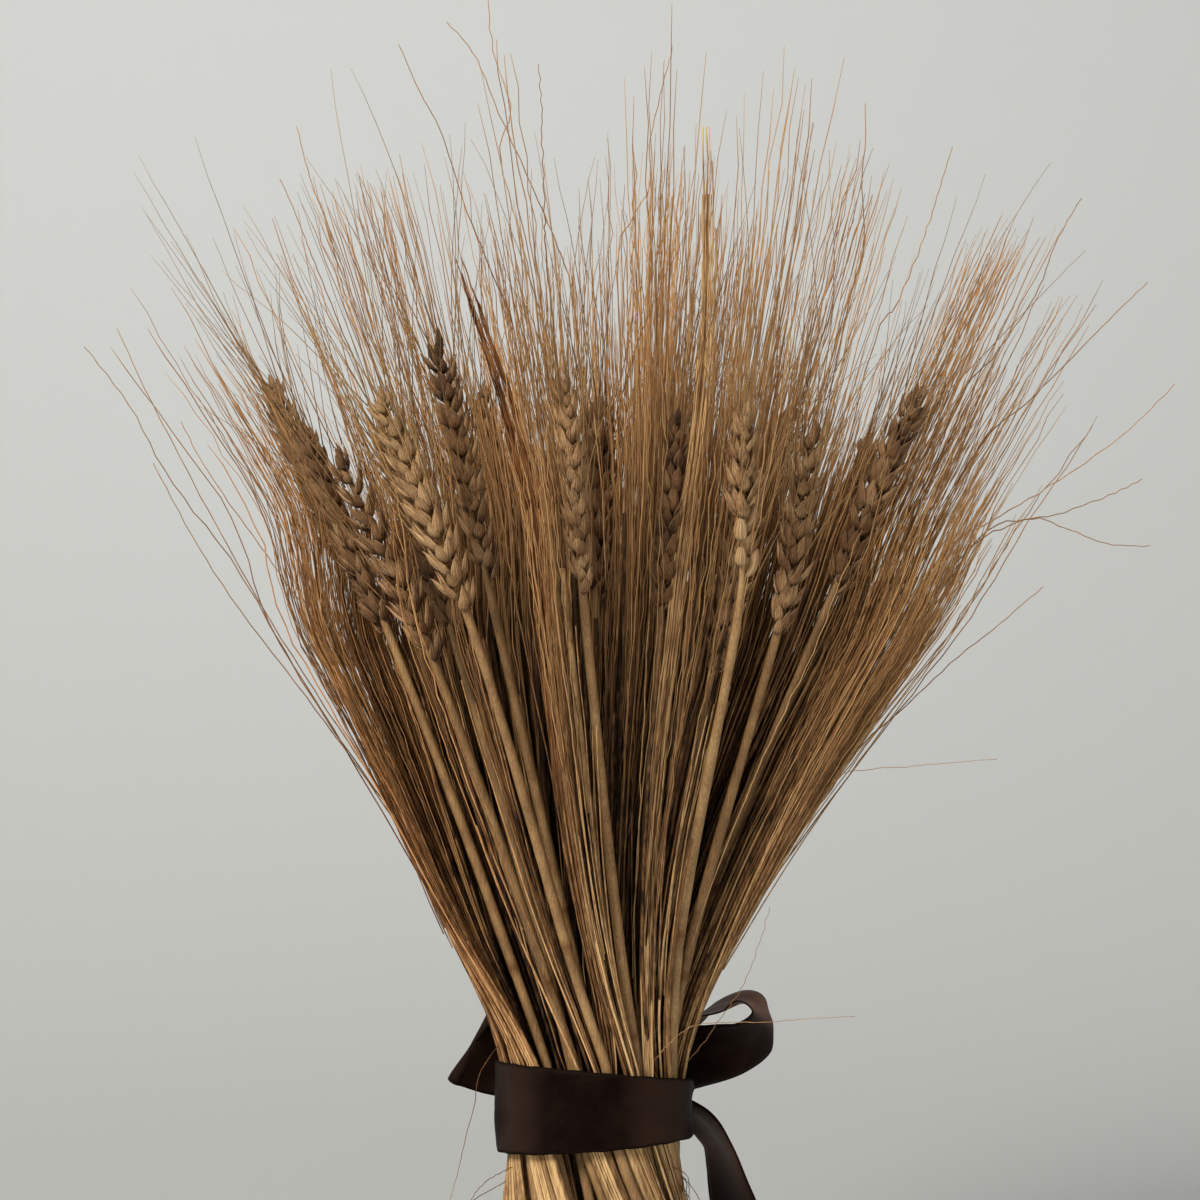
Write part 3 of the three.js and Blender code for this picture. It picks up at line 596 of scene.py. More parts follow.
def drawn_together(places, targets, lean, heights):
    """Lines that leave the tie at places and draw towards targets, which are places at the tie too."""
    up = smooth((heights - TIE_HEIGHT) / 240.0)[..., None]
    passed = mix(places[:, None], targets[:, None], up)
    lines = fan_line(passed[..., 0], passed[..., 1], heights)
    bend = np.clip((heights - TIE_HEIGHT) / 250.0, 0, None)[..., None] ** 1.6
    lines[..., :2] += lean[:, None] * bend
    return lines


def kinked(paths, heights, random, strength=1.0):
    """Straws are never quite straight: they zigzag finely, and more towards their tips."""
    shapes, rings, _ = paths.shape
    towards = unit(random.normal(size=(shapes, 1, 2)))
    flip = np.where(np.arange(rings) % 2, 1.0, -1.0)[:, None]
    amount = 0.12 + KINK * np.clip((heights - TIE_HEIGHT - 40) / 190.0, 0, 1.3)[..., None]
    zigzag = towards * flip * random.uniform(0.0, 1.0, (shapes, rings, 1)) * amount
    jitter = random.normal(size=(shapes, rings, 2)) * amount * 0.3
    wander = np.cumsum(random.normal(size=(shapes, rings, 2)), axis=1) * amount * 0.4
    wander -= wander[:, :1]
    calm = smooth((heights - TIE_HEIGHT - 4) / 30.0)[..., None]
    paths[..., :2] += (zigzag + jitter + wander) * strength * calm
    return paths


def stalk_line(ear, heights):
    """The middle line of a stalk at some heights."""
    along = np.clip((heights - TIE_HEIGHT) / (ear["base"] + ear["length"]), 0, None)
    side, depth = (ear["tie"][axis] + ear["drift"][axis] * along for axis in (0, 1))
    line = fan_out(*turned(side, depth, -FAN_TURN), heights)
    foot_sway, top_sway = ear["sway"]
    foot = ear["base"] / (ear["base"] + ear["length"])
    line[..., 0] += np.where(along < foot, foot_sway * smooth(along / foot),
                             mix(foot_sway, top_sway, smooth((along - foot) / (1 - foot))))
    return line


def open_side(number):
    """The way that an ear is open to: the front ears to the front, and the others away from the middle."""
    return np.array((0.0, -1.0)) if number < FRONT_EARS else unit(np.array(EARS[number]["tie"]))


def clear_of_ears(places, targets, lean, rises, random):
    """Which straws stand clear of the ears and stems: none runs through them, and few hide them. Few
    run through the dark gaps of the sheaf's front either."""
    clear = np.ones(len(places), bool)

    def beside(line, heights):
        """How far each straw is from a stalk's line at some heights, and if it reaches so high."""
        grid = np.broadcast_to(heights, (len(places), len(heights)))
        away = drawn_together(places, targets, lean, grid)[..., :2] - stalk_line(line, heights)[..., :2]
        return away, TIE_HEIGHT + rises[:, None] > grid

    for line, gap_rises, half, deep, share in GAPS:
        heights = TIE_HEIGHT + np.linspace(*gap_rises, 6)
        away, here = beside(line, heights)
        within = (np.abs(away[..., 0]) < half * spread(heights)) & (away[..., 1] < deep) & here
        clear &= ~within.any(axis=1) | (random.random(len(places)) < share)
    for number, ear in enumerate(EARS):
        outward = open_side(number)
        sideways = np.array([-outward[1], outward[0]])
        ear_heights = TIE_HEIGHT + ear["base"] + np.linspace(0.0, ear["length"], 6)
        stem_heights = TIE_HEIGHT + np.linspace(34, ear["base"] - 14, 5)
        for heights, window, body, share in ((ear_heights, EAR_WINDOW, EAR_BODY, IN_FRONT_OF_EAR),
                                             (stem_heights, STEM_WINDOW, STEM_BODY, IN_FRONT_OF_STEM)):
            if number >= FRONT_EARS:
                share, body = IN_FRONT_OF_OTHERS, min(body, SLIM_BODY)
            away, here = beside(ear, heights)
            ahead = away @ outward
            inside = (np.linalg.norm(away, axis=-1) < body) & here
            in_front = (np.abs(away @ sideways) < window) & (ahead > -1.0) & (ahead < 90.0) & here
            clear &= ~inside.any(axis=1)
            clear &= ~in_front.any(axis=1) | (random.random(len(places)) < share)
    return clear


def ring_levels(start, rings, high_share):
    """Ring levels from a start to 1, with most of them in the upper part, where straws zigzag."""
    high = max(4, int(rings * high_share))
    turn = mix(start, 1.0, 0.36)
    lower = np.linspace(start, turn, rings - high, endpoint=False)
    return np.concatenate([lower, np.linspace(turn, 1.0, high)])


def straw_tints(places, heights, own_light, random):
    """How light and how warm straws are: painted dark as shade deep in the sheaf, pale in front, reddish at
    the left.
    """
    rise = heights - TIE_HEIGHT
    deep = how_deep(places)[:, None]
    fan_side = turned(*places.T, FAN_TURN)[0][:, None]
    leftness = smooth((-fan_side - 6) / 16)
    rightness = smooth((fan_side - 3) / 14)
    # Painted shade: straws deep in the sheaf are made dark, and lighten only high in the fan, where it
    # opens.
    out_of_painted_shade = smooth((deep - 0.5) / 0.45)
    inside = mix(0.05, 0.5, out_of_painted_shade)
    aloft = smooth((rise - 145) / 95)
    low = 1 - smooth((rise - 10) / 100)
    light = mix(inside, 0.5, aloft) - 0.07 * leftness + 0.14 * rightness + 0.1 * aloft
    light = light + 0.22 * low * out_of_painted_shade + own_light[:, None]
    warm = 0.08 + 0.5 * leftness * (1 - 0.6 * low) + 0.14 * aloft + random.normal(0, 0.12, (len(places), 1))
    return np.clip(light, 0.02, 1.0), np.clip(warm, 0, 1)


def lock_of_straw(node, seed, strays):
    """Stout straws that pass the tie, and the finer ones that each parts into on its way up."""
    random = np.random.default_rng(seed)
    outline = ring_at_tie(node)
    area = area_of(outline)
    weave = Weave()

    stems = spaced_places(outline, int(STEMS_PER_AREA * area), STEM_GAP, 0.8, random)
    wisps = places_in(outline, WISPS_PER_LOCK, random)
    wisp = np.argmin(np.linalg.norm(stems[:, None] - wisps[None], axis=-1), axis=1)
    stem_lean = random.normal(0, 5.0, (WISPS_PER_LOCK, 2))[wisp] + random.normal(0, 2.0, (len(stems), 2))
    golden = random.random(len(stems)) < GOLDEN_SHARE
    stem_light = np.where(golden, 0.25, -0.07) + random.normal(0.0, 0.16, len(stems))
    stem_light += random.normal(0, 0.1, WISPS_PER_LOCK)[wisp]
    towards = mix(stems, wisps[wisp], WISP_PULL)
    inner = how_deep(stems)[:, None] < CORE
    stem_rises = random.uniform(*STEM_REACH, len(stems)) + np.where(inner[:, 0], 35.0, 0.0)
    clear = clear_of_ears(stems, towards, stem_lean, stem_rises, random)
    levels = np.linspace(0, 1, 13)[None] ** 1.1
    heights = TIE_HEIGHT + mix(STRAW_START, stem_rises[:, None], levels)
    paths = kinked(drawn_together(stems, towards, stem_lean, heights), heights, random, 0.8)
    stout = np.where(random.random(len(stems)) < STOUT_SHARE, 1.8, 1.0)[:, None]
    radii = random.uniform(*STEM_THICKNESS, len(stems))[:, None] * stout
    radii = radii * np.where(inner, mix(1.5, 1.2, levels), mix(1.0, 0.42, levels))
    light, warm = straw_tints(stems, heights, stem_light, random)
    # Stems in the dense middle are painted darker still, as shade.
    light = np.where(inner, light * 0.35, light)
    weave.tubes(paths[clear], radii[clear], 5, light=light[clear], warm=warm[clear], along=levels * 0.45,
                turn=random.random() * 6)

    fine_straws(weave, stems, towards, stem_lean, stem_light, wisp, random)
    legs(weave, outline, area, random)
    for path, stray_light in strays:
        hair(weave, path, stray_light, random, radius=0.27 if path[-1][2] > LOW_STRAY else 0.16)
    piece = weave.piece(f"{node}_straws", straw_material, "straw")
    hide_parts(node)


def fine_straws(weave, stems, towards, stem_lean, stem_light, wisp, random):
    """The finer straws, with those of each stem close together, and uneven in height from wisp to wisp."""
    parent = np.repeat(np.arange(len(stems)), HAIRS_PER_STEM)
    count = len(parent)
    places = stems[parent]
    targets = towards[parent] + random.normal(0, 0.5, (count, 2))
    lean = stem_lean[parent] + random.normal(0, 5.4, (count, 2))
    tips = np.stack(turned(*targets.T, FAN_TURN), axis=1)
    tip_side = tips[:, 0]
    at_right = tip_side > 0
    aside = np.abs(tip_side) / TIE_HALF[0] * np.where(at_right, 1.15, 1.0)
    tallness = random.exponential(WISP_TALLNESS, WISPS_PER_LOCK)[wisp[parent]]
    tallness = tallness + random.exponential(STRAW_TALLNESS, count)
    outer = random.random(count) < SIDE_LONG_SHARE
    outwards = random.uniform(0, OUTER_LEAN, count) * np.sign(tip_side) * smooth(aside)
    lean[:, 0] += np.where(outer, outwards, 0)
    drop = np.where(outer, -14.0, SIDE_DROP) + np.where(at_right, RIGHT_DROP, 0.0)
    length = (SHORTEST_STRAW + tallness * (1.1 - 0.5 * smooth(aside)) + random.uniform(-14, 14, count)
              - drop * smooth((aside - 0.35) / 0.6))
    longest = LONGEST_STRAW - np.where(at_right, 46.0, 22.0) * smooth((np.abs(tip_side) - 6) / 14)
    slant = np.sqrt(1 + np.sum(places ** 2, axis=1) / FAN_REACH ** 2)
    rises = np.minimum(length, longest + random.uniform(-14, 6, count)) / slant
    widest = np.maximum(np.abs(tips) / FAN_LIMIT, 1e-3).max(axis=1)
    rises = np.minimum(rises, FAN_REACH * np.sqrt(1 / widest ** 2 - 1))
    clear = clear_of_ears(places, targets, lean, rises, random)
    thick = random.uniform(*STRAW_RADIUS, count)
    start = random.uniform(10, 60, count) / rises
    bright = random.random(count) < BRIGHT_SHARE
    own_light = 0.6 * stem_light[parent] + np.where(bright, 0.48, -0.14) + random.normal(0, 0.1, count)
    deep = how_deep(places)
    for chosen, rings in ((clear & (deep > 0.6), 24), (clear & (deep <= 0.6), 16)):
        if not chosen.any():
            continue
        levels = np.stack([ring_levels(first, rings, 0.8) for first in start[chosen]])
        heights = TIE_HEIGHT + rises[chosen][:, None] * levels
        paths = drawn_together(places[chosen], targets[chosen], lean[chosen], heights)
        paths = kinked(paths, heights, random)
        radii = np.maximum(thick[chosen][:, None] * mix(1.0, 0.52, levels), STRAW_TIP_RADIUS)
        radii[:, -1] *= 0.5
        light, warm = straw_tints(places[chosen], heights, own_light[chosen], random)
        weave.tubes(paths, radii, 3, light=light, along=levels, warm=warm, turn=random.random() * 6)


# How far a leg sways from its line, and its size, at each of its rings: the hollow, its rim, the cut end
# and on to the tie
LEG_SWAY = np.array([1.4, 1.4, 1.4, 1.1, 0.7, 0.4, 0.2, 0.1, 0.0, 0.0])
LEG_SIZE = np.array([0.5, 0.55, 1.0, 1.0, 1.0, 0.98, 0.95, 0.93, 0.9, 0.85])


def legs(weave, outline, area, random):
    """The cut lower ends, hollow where they stand."""
    places = spaced_places(outline, int(LEGS_PER_AREA * area), LEG_GAP, 2.4, random)
    count = len(places)
    radii = random.uniform(*LEG_RADIUS, count)
    foot = np.where(np.arange(count) < 3, 0.0, random.uniform(0, 2.2, count))
    bends = [mix(foot, TIE_HEIGHT, share) for share in (0.28, 0.52, 0.68, 0.79, 0.87, 0.94)]
    heights = np.stack([foot + 3.0, foot, foot, *bends, np.full(count, TIE_HEIGHT + 6.0)], axis=1)
    paths = fan_out(places[:, :1], places[:, 1:], heights)
    paths[:, 0, :2] = paths[:, 2, :2]
    paths[..., :2] += random.normal(0, 0.7, (count, 1, 2)) * LEG_SWAY[:, None]
    axis = unit(paths[:, 3] - paths[:, 2]) + unit(paths[:, -1] - paths[:, 2])
    # Painted shade: legs deep in the sheaf are darker.
    inside = 1 - smooth((how_deep(places) - 0.5) / 0.3)
    light = np.clip(random.normal(0.66, 0.22, count) - 0.4 * inside, 0.05, 1.0)
    # The hollow and the rim of each cut end are painted darker, as shade inside the hollow.
    light = light[:, None] + np.array([-0.5, -0.1] + [0.0] * (heights.shape[1] - 2))
    weave.tubes(paths, radii[:, None] * LEG_SIZE, 5, axis=axis[:, None], light=light, along=0.0)


def hair(weave, path, light, random, radius, rings=48):
    """One long loose straw along a path from its root to its tip."""
    share = np.linspace(0, 1, rings)
    wobble = np.cumsum(random.normal(size=(rings, 3)), axis=0) * 0.07
    zigzag = unit(random.normal(size=(1, 3))) * np.where(np.arange(rings) % 2, 0.36, -0.36)[:, None]
    points = through(path, rings) + (wobble - wobble[:1]) + zigzag * random.uniform(0.1, 1, (rings, 1))
    weave.tubes(points[None], radius * mix(1.0, 0.45, share), 4, light=light, warm=0.1, along=share)


def at_depth(outline_points, depth):
    return np.array([(side, depth, height) for side, height in outline_points], float)


def stray_path(outline_points, depth):
    """A stray's points from where it passes the tie to its tip: it leaves the fan's rim little by little."""
    points = at_depth(outline_points, depth)[::-1]
    side, _, height = points[0]
    scale = spread(height)
    place = np.array([turned((side - 8.0) / scale, np.clip(depth, -40, 40) / scale, -lay_turn(height))])
    place = place * min(1.0, 0.9 / how_deep(place)[0])
    heights = mix(TIE_HEIGHT, height, np.linspace(0.05, 0.6, 4))
    return np.concatenate([fan_line(*place[0], heights), points])


locks = sorted(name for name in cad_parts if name.startswith("straw_lock"))
stalks = sorted(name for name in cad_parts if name.startswith("wheat_stalk"))
lock_points = {node: solid_points(node) for node in locks}
strays_of = {node: [] for node in locks}
for number, (outline_points, depth) in enumerate(STRAYS):
    path = stray_path(outline_points, depth)
    nearest = min(locks, key=lambda node: np.linalg.norm(lock_points[node] - path[-1], axis=1).min())
    strays_of[nearest].append((path, 0.35 + 0.3 * (number % 3) / 2))
for number, node in enumerate(locks):
    lock_of_straw(node, 300 + number, strays_of[node])


# Wheat stalks


def stem(weave, ear, top, random):
    """A stem with swollen joints and the leaf sheaths above them, from its hollow cut end to its top."""
    joints = np.array([random.uniform(34, 60), TIE_HEIGHT + random.uniform(24, 70)])
    near_joints = [joints + shift for shift in (-3, -1.2, 0, 1.2, 3.2)]
    heights = np.concatenate([[3.0, 0.0], np.sort(np.concatenate([np.linspace(0, top, 30), *near_joints]))])
    size = mix(1.0, 0.76, np.clip(heights / top, 0, 1) ** 1.3)
    dark = np.zeros(len(heights))
    for joint in joints:
        near = peak(heights, joint, 1.5)
        size = size + 0.16 * near
        dark = np.maximum(dark, near)
        size = np.where((heights > joint + 3) & (heights < joint + 62), size * 1.1, size)
    size = np.where(heights > TIE_HEIGHT + ear["base"], size * 0.66, size)
    size[:2] = 0.5, 0.55
    paths = stalk_line(ear, heights)
    paths[0, :2] = paths[2, :2]
    free = smooth((heights - TIE_HEIGHT - 16) / 40)
    paths[:, 0] += np.sin(heights / 47.0 + random.uniform(0, 6)) * 0.5 * free
    axis = unit(np.gradient(paths, axis=0))
    axis[:3] = unit(paths[4] - paths[2])
    # The inside of the hollow cut end is painted darker, as shade.
    light = random.uniform(0.36, 0.6) + np.where(np.arange(len(heights)) == 0, -0.5, 0)
    weave.tubes(paths[None], STEM_RADIUS * size, 12, axis=axis, light=light, warm=dark,
                along=np.clip(heights / top, 0, 1))


# One husk: how wide it is, and how far it bulges from its middle line, at each of its rings
HUSK_LEVELS = np.array([0.0, 0.14, 0.34, 0.56, 0.76, 0.9, 1.0])
HUSK_WIDTHS = np.array([0.3, 0.8, 1.0, 0.92, 0.6, 0.27, 0.05])
HUSK_BULGE = np.array([0.0, 0.5, 0.9, 1.0, 0.9, 1.0, 1.35])
GRAIN_WIDTHS = np.array([0.35, 0.82, 1.0, 1.0, 0.85, 0.6, 0.3])

# Husks of a spikelet: how far up, out and sideways each starts, how it leans out and sideways, which way
# it faces, its length, half-width and half-thickness, and if it bears an awn.
SPIKELET = [
    (0.0, 0.8, -1.3, (0.34, -0.34), -0.95, (8.8, 1.9, 0.9), False),
    (0.0, 0.8, 1.3, (0.34, 0.34), 0.95, (8.8, 1.9, 0.9), False),
    (1.0, 1.3, -0.75, (0.5, -0.2), -0.4, (10.6, 1.85, 1.3), True),
    (1.4, 1.3, 0.75, (0.5, 0.2), 0.4, (10.6, 1.85, 1.3), True),
    (3.2, 1.7, 0.0, (0.42, 0.0), 0.0, (9.2, 1.7, 1.25), False),
]
GRAIN = [(1.0, 1.2, 0.0, (0.36, 0.1), 0.1, (9.0, 2.2, 1.9), False)]


def ear_of(weave, awns, ear, random, sides, outward_way, dark_top, husked):
    """An ear: spikelets in two ranks, each a fan of keeled husks, with an awn on the husks that bear one."""
    foot = TIE_HEIGHT + ear["base"]
    top = foot + ear["length"]
    slim = ear["slim"]
    husks_made = []
    awns_made = []
    for number in range(SPIKELETS_PER_EAR):
        share = number / (SPIKELETS_PER_EAR - 1)
        height = mix(foot - 1.0, top - 11.0, share)
        root, ahead = stalk_line(ear, np.array([height, height + 2.0]))
        axis = unit(ahead - root)
        turn = ear["turn"] + math.pi * (number % 2) + random.normal(0, 0.16)
        rank = np.array([math.cos(turn), math.sin(turn), 0.0]) + 0.42 * outward_way
        rank = unit(rank - axis * rank.dot(axis))
        if number == SPIKELETS_PER_EAR - 1:
            rank = rank * 0.2
        side = np.cross(axis, unit(rank))
        full = (1.0 - 0.25 * abs(2 * share - 0.85) ** 2) * random.uniform(0.93, 1.07)
        husks = SPIKELET
        if husked and number < 9:
            husks = GRAIN if number in (4, 5, 7, 8) else []
        grain = husks is GRAIN
        tone = ear["light"] + random.normal(0, 0.06) - dark_top * 0.42 * smooth((share - 0.6) / 0.2)
        for up, out, beside, lean, turned_face, size, bears_awn in husks:
            lean_out = lean[0] * slim * random.uniform(0.7, 1.35)
            lean_side = lean[1] * random.uniform(0.6, 1.4) + random.normal(0, 0.05)
            way = unit(axis + rank * lean_out + side * lean_side)
            face = unit(rank + 1e-6) * math.cos(turned_face) + side * math.sin(turned_face)
            face = unit(face - way * face.dot(way))
            size = np.array(size) * full * random.uniform(0.88, 1.12) * mix(0.78, 1.0, slim)
            start = root + axis * up + rank * out * slim + side * beside * mix(0.6, 1.0, slim)
            light = 1.0 if grain else tone + random.normal(0, 0.1)
            warm = 0.05 if grain else random.uniform(0, 0.5)
            husks_made.append((start, way, face, size, GRAIN_WIDTHS if grain else HUSK_WIDTHS, light, warm))
            if bears_awn and number > 2:
                awn_way = unit(mix(way, axis, 0.5) + random.normal(0, 0.06, 3))
                awn_length = mix(30, 80, share) * random.uniform(0.5, 1.1)
                awns_made.append((start + way * size[0] * 0.94, awn_way, awn_length))
    roots, ways, faces, sizes, widths, lights, warms = (np.array(column) for column in zip(*husks_made))
    lengths, halves, thick = (sizes[:, [i]] for i in range(3))
    centres = roots[:, None] + ways[:, None] * (lengths * HUSK_LEVELS)[..., None]
    centres = centres + faces[:, None] * (thick * HUSK_BULGE * 0.5)[..., None]
    right = np.cross(faces, ways)[:, None] * (halves * widths)[..., None]
    up = faces[:, None] * (thick * widths)[..., None]
    weave.loft(centres, right, up, sides, under=0.35, keel=0.16, light=lights[:, None], warm=warms[:, None],
               along=HUSK_LEVELS)

    steps = np.linspace(0, 1, 10)
    level = steps[:, None]
    roots, ways, lengths = (np.array(column) for column in zip(*awns_made))
    lengths = lengths[:, None, None]
    bend = random.normal(0, 0.08, (len(roots), 1, 3))
    paths = roots[:, None] + ways[:, None] * lengths * level + bend * lengths * level ** 2
    paths = paths + random.normal(0, 0.2, paths.shape) * level
    awns.tubes(paths, mix(0.24, 0.07, steps), 3, light=ear["light"] + 0.05, warm=0.3, along=steps)


for number, (node, ear) in enumerate(zip(stalks, EARS)):
    random = np.random.default_rng(500 + number)
    stem_weave = Weave()
    ear_weave = Weave()
    stem(stem_weave, ear, TIE_HEIGHT + ear["base"] + ear["length"] - 8, random)
    ear_of(ear_weave, stem_weave, ear, random, sides=8 if number < FRONT_EARS else 6,
           outward_way=np.append(open_side(number), 0.0), dark_top=number == DARK_TOPPED_EAR,
           husked=number == HUSKED_EAR)
    for weave, part, material in ((stem_weave, "stem", stem_material), (ear_weave, "ear", husk_material)):
        piece = weave.piece(f"{node}_{part}", material, "wheat")
        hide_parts(node)


# Odd straws that the photograph shows


def tight_lock(weave, line, count, apart, light, warm, random):
    """Straws that run side by side in a flat bunch, widest half-way up, with their warm tint above."""
    rings = 40
    middle = through(line, rings)
    rise = np.linspace(0, 1, rings)
    for _ in range(count):
        steps = max(14, int(rings * random.uniform(0.82, 1.0)))
        share = rise[:steps]
        beside = random.uniform(-1, 1)
        before = random.uniform(-0.35, 0.35)
        wide = apart * np.sin(np.pi * mix(0.12, 0.9, share)) + 0.4
        twist = 0.1 * np.sin(share * 4 + random.uniform(0, 6))
        offset = np.stack([wide * (beside + twist), wide * (before + twist), 0 * twist], axis=-1)
        ragged = random.normal(0, 0.9, 3) * (1, 1, 0) * share[:, None] ** 4
        path = middle[:steps] + offset + ragged + random.normal(0, 0.14, (steps, 3))
        radius = random.uniform(0.22, 0.36) * mix(1, 0.65, share / share[-1])
        upper = smooth(share / 0.6)
        weave.tubes(path[None], radius, 4, warm=warm * mix(0.2, 1.0, upper), along=share * 0.5,
                    light=light + random.normal(0, 0.12) + 0.12 * (1 - upper))


def odd_straws():
    random = np.random.default_rng(900)
    weave = Weave()
    levels = np.linspace(0, 1, 18)
    heights = np.linspace(STRAW_START + TIE_HEIGHT, TIE_HEIGHT + 166, len(levels))
    weave.tubes(stalk_line(STUB, heights)[None], mix(1.25, 1.05, levels), 8, light=0.7, along=levels * 0.3)
    for line, count, apart, light, warm in TIGHT_LOCKS:
        tight_lock(weave, line, count, apart, light, warm, random)
    for outline_points, depth, light in LOW_HAIRS:
        hair(weave, at_depth(outline_points, depth), light, random, radius=0.15, rings=30)
    return weave.piece("odd_straws", straw_material, "straw")


odd_straws()


# Ribbon

RIBBON_HALF = 12.5
CLOTH = 0.35  # half the cloth's thickness
STRIP_ROWS = 14
KNOT_DEPTH = 29.5


def ribbon_piece(name, grid, lengths, widths, painted_sheen, closed=False):
    """A strip of cloth over a grid of middle points (along, across, 3), given its thickness. The argument
    after widths is the painted sheen: how much lighter the cloth is painted at each step of its length."""
    steps, rows, _ = grid.shape
    along_way = np.roll(grid, -1, axis=0) - np.roll(grid, 1, axis=0) if closed else np.gradient(grid, axis=0)
    normal = unit(np.cross(along_way, np.gradient(grid, axis=1)))
    thick = np.full((rows, 1), CLOTH)
    thick[[0, -1]] *= 0.45
    # Each step has one ring of corners: across the outer face, and back across the inner one
    ring = 2 * rows
    points = np.concatenate([grid + normal * thick, (grid - normal * thick)[:, ::-1]], axis=1).reshape(-1, 3)
    here = np.arange(steps if closed else steps - 1)[:, None] * ring
    ahead = (here + ring) % (steps * ring)
    corner = np.arange(ring)
    beyond = (corner + 1) % ring
    faces = np.stack([here + corner, ahead + corner, ahead + beyond, here + beyond], axis=-1).reshape(-1, 4)
    if not closed:
        low = np.arange(rows - 1)
        end = np.stack([low, low + 1, ring - 2 - low, ring - 1 - low], axis=-1)
        faces = np.concatenate([faces, end, end[:, ::-1] + (steps - 1) * ring])
    mesh = smooth_mesh(name, (points * METRES).tolist(), faces.tolist())
    place = np.zeros(len(mesh.loops), np.int32)
    mesh.loops.foreach_get("vertex_index", place)
    layer = mesh.uv_layers.new(name="cloth")
    across = np.concatenate([widths, widths[::-1]])
    layer.data.foreach_set("uv", np.stack([across[place % ring], lengths[place // ring]], axis=1).ravel())
    shine = mesh.attributes.new("painted_sheen", "FLOAT", "POINT")
    shine.data.foreach_set("value", np.repeat(painted_sheen, ring).astype(np.float32))
    piece = place_piece(name, mesh, satin)
    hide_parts("satin_ribbon")
    return piece


def ribbon_band():
    """The turn round the sheaf: straight and wide in front, drawn together towards the knot behind."""
    steps, rows = 120, 18
    angle = 2 * np.pi * np.arange(steps) / steps
    right, back, front = np.cos(angle), np.maximum(0, np.sin(angle)), np.maximum(0, -np.sin(angle))
    wave = 0.1 * np.sin(17 * angle) + 0.06 * np.sin(43 * angle + 1.0)
    top = 11.6 - 2.8 * right + 3.2 * front - 5.0 * back + wave
    bottom = -11.2 + 2.3 * right + 1.8 * front + 5.0 * back + np.roll(wave, 9)
    level = np.linspace(0, 1, rows)
    rise = mix(bottom[:, None], top[:, None], level)
    edge_scale = np.hypot(1.0, 16.0 / np.where(rise > 0, FAN_REACH, FOOT_REACH))
    scale = mix(1.0, edge_scale, np.abs(rise) / 16.0)
    # Long soft creases: where it bulges at the left, and where it is pinched at the right
    turn = angle[:, None]
    crease = (1.7 * peak(turn, 3.25, 0.17) * np.sin(np.pi * level ** 0.8) ** 2
              - 0.5 * peak(turn, 3.6, 0.1) * np.sin(np.pi * level * 0.9)
              + 0.5 * peak(turn, 4.05, 0.2) - 0.35 * peak(turn, 4.4, 0.12) + 0.35 * peak(turn, 5.2, 0.25))
    pleat = 0.55 * np.sin(level * 17) * smooth((np.abs(turn - 1.5 * np.pi) - 1.3) / 1.2)
    crumple = 1.2 * peak(turn, 6.05, 0.14) * peak(level, 0.12, 0.12)
    stand = np.maximum(1.05 + crease * 0.8 + np.maximum(pleat, -0.25) + crumple, 0.75)
    grid = np.stack([np.cos(turn) * (TIE_HALF[0] * scale + stand),
                     np.sin(turn) * (TIE_HALF[1] * scale + stand), TIE_HEIGHT + rise], axis=-1)
    # Painted sheen round the band: two broad lighter blocks at the front, painted satin highlights.
    painted_sheen = 0.06 + 0.5 * peak(angle, 3.75, 0.36, 4) + 0.6 * peak(angle, 5.5, 0.42, 4)
    piece = ribbon_piece("ribbon_band", grid, lengths_along(grid[:, rows // 2]),
                         mix(-RIBBON_HALF, RIBBON_HALF, level), painted_sheen, closed=True)


def ribbon_strip(name, steps, pleats, painted_sheen, stations):
    """A loop or a tail. The function after pleats gives the painted sheen along it: how much lighter the
    cloth is painted. Each station has a point of its middle line, from the tie's middle, the way across,
    the half-width, and how deep it is pleated."""
    values = through(np.array(stations, float) + (0, 0, TIE_HEIGHT, 0, 0, 0, 0, 0), steps)
    line, across, half, depth = values[:, :3], unit(values[:, 3:6]), values[:, 6:7], values[:, 7:]
    along = unit(np.gradient(line, axis=0))
    across = unit(across - along * np.sum(across * along, axis=1, keepdims=True))
    face = np.cross(along, across)
    level = np.linspace(-1, 1, STRIP_ROWS)
    fold = np.sin(level * pleats) * depth + 0.35 * level ** 2
    grid = line[:, None] + across[:, None] * (half * level)[..., None] + face[:, None] * fold[..., None]
    piece = ribbon_piece(name, grid, lengths_along(line), level * RIBBON_HALF, painted_sheen(np.linspace(0, 1, steps)))


def ribbon_knot():
    """The short turn of ribbon that holds the bow, drawn into folds."""
    steps, rows = 44, 16
    angle = 2 * np.pi * np.arange(steps) / steps
    right, back = np.cos(angle)[:, None], np.sin(angle)[:, None]
    level = np.linspace(-1, 1, rows)
    folds = 1.35 * np.sin(level * 10 + 0.4) * (0.8 + 0.2 * np.cos(angle * 2))[:, None]
    waist = 1.0 - 0.2 * level ** 2
    grid = np.stack([
        1.0 + 8.0 * level * (0.92 + 0.08 * right),
        KNOT_DEPTH + 1.0 + back * (4.4 * waist + folds),
        TIE_HEIGHT + 1.0 + right * (8.2 * waist + folds),
    ], axis=-1)[::-1]
    # Painted sheen on the knot, lighter on its upper side.
    piece = ribbon_piece("ribbon_knot", grid, lengths_along(grid[:, rows // 2]), level * RIBBON_HALF,
                         0.4 + 0.2 * np.cos(angle), closed=True)


ribbon_band()
